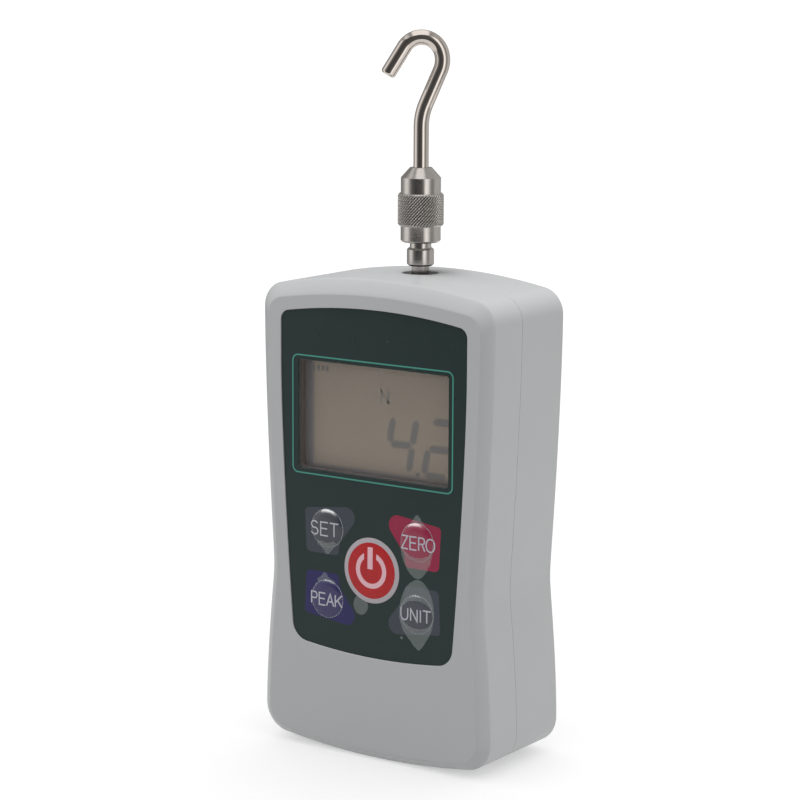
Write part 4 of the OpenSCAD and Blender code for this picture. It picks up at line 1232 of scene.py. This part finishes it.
def make_data_port():
    low, high = box_mm("data_port")
    shell = 0.35
    d0, d1 = low.y - FRONT, high.y - FRONT
    loops = []
    for t in (0, shell):
        loops.append(rounded([(low.z + t, d0 + 1.3, 0.5), (low.z + t, d1 - t, 0.6), (high.z - t, d1 - t, 0.6),
                              (high.z - t, d0 + 1.3, 0.5), (high.z - 1.1 - t, d0 + t, 0.5),
                              (low.z + 1.1 + t, d0 + t, 0.5)]))
    rings = [[place(x, d, z) for z, d in loop] for loop, x in (
        (loops[0], high.x), (loops[0], low.x), (loops[1], low.x), (loops[1], high.x - 0.8))]
    add_piece("data_socket", loft(rings), "screw", "housing", "screw_steel", "data_port")


# ---- Studio ----


def screen_glow(position, screens):
    """Brightness at one place along a row of (place, brightness) pairs."""
    for (a, low), (b, high) in zip(screens, screens[1:]):
        if a <= position <= b:
            return low + (high - low) * (position - a) / (b - a)
    return 0


def make_screen(name, verts, faces, glow, mat):
    screen = make_piece(name, verts, faces, "dark", smooth=False)
    screen.data.attributes.new("glow", "FLOAT", "POINT").data.foreach_set("value", glow)
    screen.data.materials[0] = mat
    for ray in ("camera", "diffuse", "shadow", "transmission"):
        setattr(screen, "visible_" + ray, False)


def make_tent():
    """Screens round and above the object, which only reflections see."""
    mat = bpy.data.materials.new("tent_screens")
    mat.use_nodes = True
    shader = mat.node_tree.nodes["Principled BSDF"]
    shader.inputs["Base Color"].default_value = (0, 0, 0, 1)
    shader.inputs["Specular IOR Level"].default_value = 0
    shader.inputs["Emission Color"].default_value = (1, 0.99, 0.98, 1)
    level = Nodes(mat.node_tree).add("ShaderNodeAttribute", attribute_name="glow")
    mat.node_tree.links.new(level.outputs["Fac"], shader.inputs["Emission Strength"])
    # Round the object: degrees from the camera's direction, brightness.
    walls = [(-180, 0.28), (-143, 0.34), (-128, 0.4), (-114, 0.65), (-100, 1.15), (-84, 1.3), (-74, 0.9),
             (-66, 0.45), (-58, 0.22), (-43, 0.12), (-31, 0.08), (0, 0.11), (12, 0.15), (18, 0.3),
             (23, 1.4), (30, 1.8), (42, 1.5), (50, 0.9), (58, 0.42), (68, 0.33), (76, 0.38),
             (84, 0.62), (95, 0.74), (140, 0.62), (165, 0.42), (180, 0.28)]
    # Above the object: metres to the camera's right, brightness.
    roof = [(-0.6, 0.4), (-0.42, 0.4), (-0.3, 1.1), (-0.22, 0.55), (-0.18, 0.42), (-0.14, 1.45), (0.1, 1.45),
            (0.15, 0.45), (0.25, 0.62), (0.6, 0.5)]
    camera_turn = CAMERA_AZIMUTH - math.pi / 2
    radius, height, n = 0.45, 0.6, 180
    turns = [2 * math.pi * i / n for i in range(n)]
    verts = [(radius * math.cos(a), radius * math.sin(a), z) for z in (0.002, height) for a in turns]
    around = [math.degrees((a - camera_turn + math.pi) % (2 * math.pi) - math.pi) for a in turns]
    make_screen("tent_walls", verts, bands(2, n), [screen_glow(a, walls) for a in around] * 2, mat)
    right = Vector((math.cos(CAMERA_AZIMUTH), math.sin(CAMERA_AZIMUTH), 0))
    back = Vector((-right.y, right.x, 0))
    verts = [right * x + back * y + Vector((0, 0, height)) for x, _ in roof for y in (-0.6, 0.6)]
    faces = [[2 * i, 2 * i + 2, 2 * i + 3, 2 * i + 1] for i in range(len(roof) - 1)]
    make_screen("tent_roof", verts, faces, [glow for _, glow in roof for _ in range(2)], mat)


TOP_WATTS, SIDE_WATTS, GLINT_WATTS = 12.8, 3.2, 0.34
FLOOR_GLOW, WORLD_GLOW = 0.34, 0.8


def make_studio():
    n = 96
    verts = [(0, 0, 0)] + [(x, y, 0) for x, y in circle(0, 0, 14, n)]
    floor = make_piece("floor", verts, [[0, 1 + i, 1 + (i + 1) % n] for i in range(n)], "floor")
    shader = floor.data.materials[0].node_tree.nodes["Principled BSDF"]
    shader.inputs["Emission Color"].default_value = (1, 1, 1, 1)
    shader.inputs["Emission Strength"].default_value = FLOOR_GLOW
    world = bpy.data.worlds.new("studio")
    scene.world = world
    world.use_nodes = True
    background = world.node_tree.nodes["Background"]
    background.inputs["Color"].default_value = (1, 1, 1, 1)
    background.inputs["Strength"].default_value = WORLD_GLOW
    glint = area_light("glint_light", (-0.225, -0.33, 0.106), (0, 0, 0.06), (0.126, 0.045),
                       GLINT_WATTS)
    glint.visible_diffuse = False
    shiny = bpy.data.collections.new("lit_by_glint_light")
    for name in ("set", "zero", "peak", "unit"):
        shiny.objects.link(bpy.data.objects[name + "_key_dome"])
    glint.light_linking.receiver_collection = shiny
    lit = bpy.data.collections.new("lit_by_upper_lights")
    lit.objects.link(floor)
    lit.collection_objects[0].light_linking.link_state = "EXCLUDE"
    for name, at, size, power in (("top_light", (-0.1, -0.13, 1.1), (0.5, 0.4), TOP_WATTS),
                                  ("side_light", (0.9, 0.45, 0.4), (0.5, 0.5), SIDE_WATTS)):
        light = area_light(name, at, (0, 0, 0.1), size, power)
        light.visible_glossy = False
        light.light_linking.receiver_collection = lit
    make_tent()


def dress_frame():
    for look, names in NODE_LOOKS.items():
        for name in names:
            for material_slot in nodes[name].material_slots:
                material_slot.material = M[look]


dress_frame()
make_front()
make_rear()
make_film()
make_keys()
make_legends()
make_display()
make_spindle()
make_chuck()
make_hook()
make_jack()
make_data_port()
make_studio()
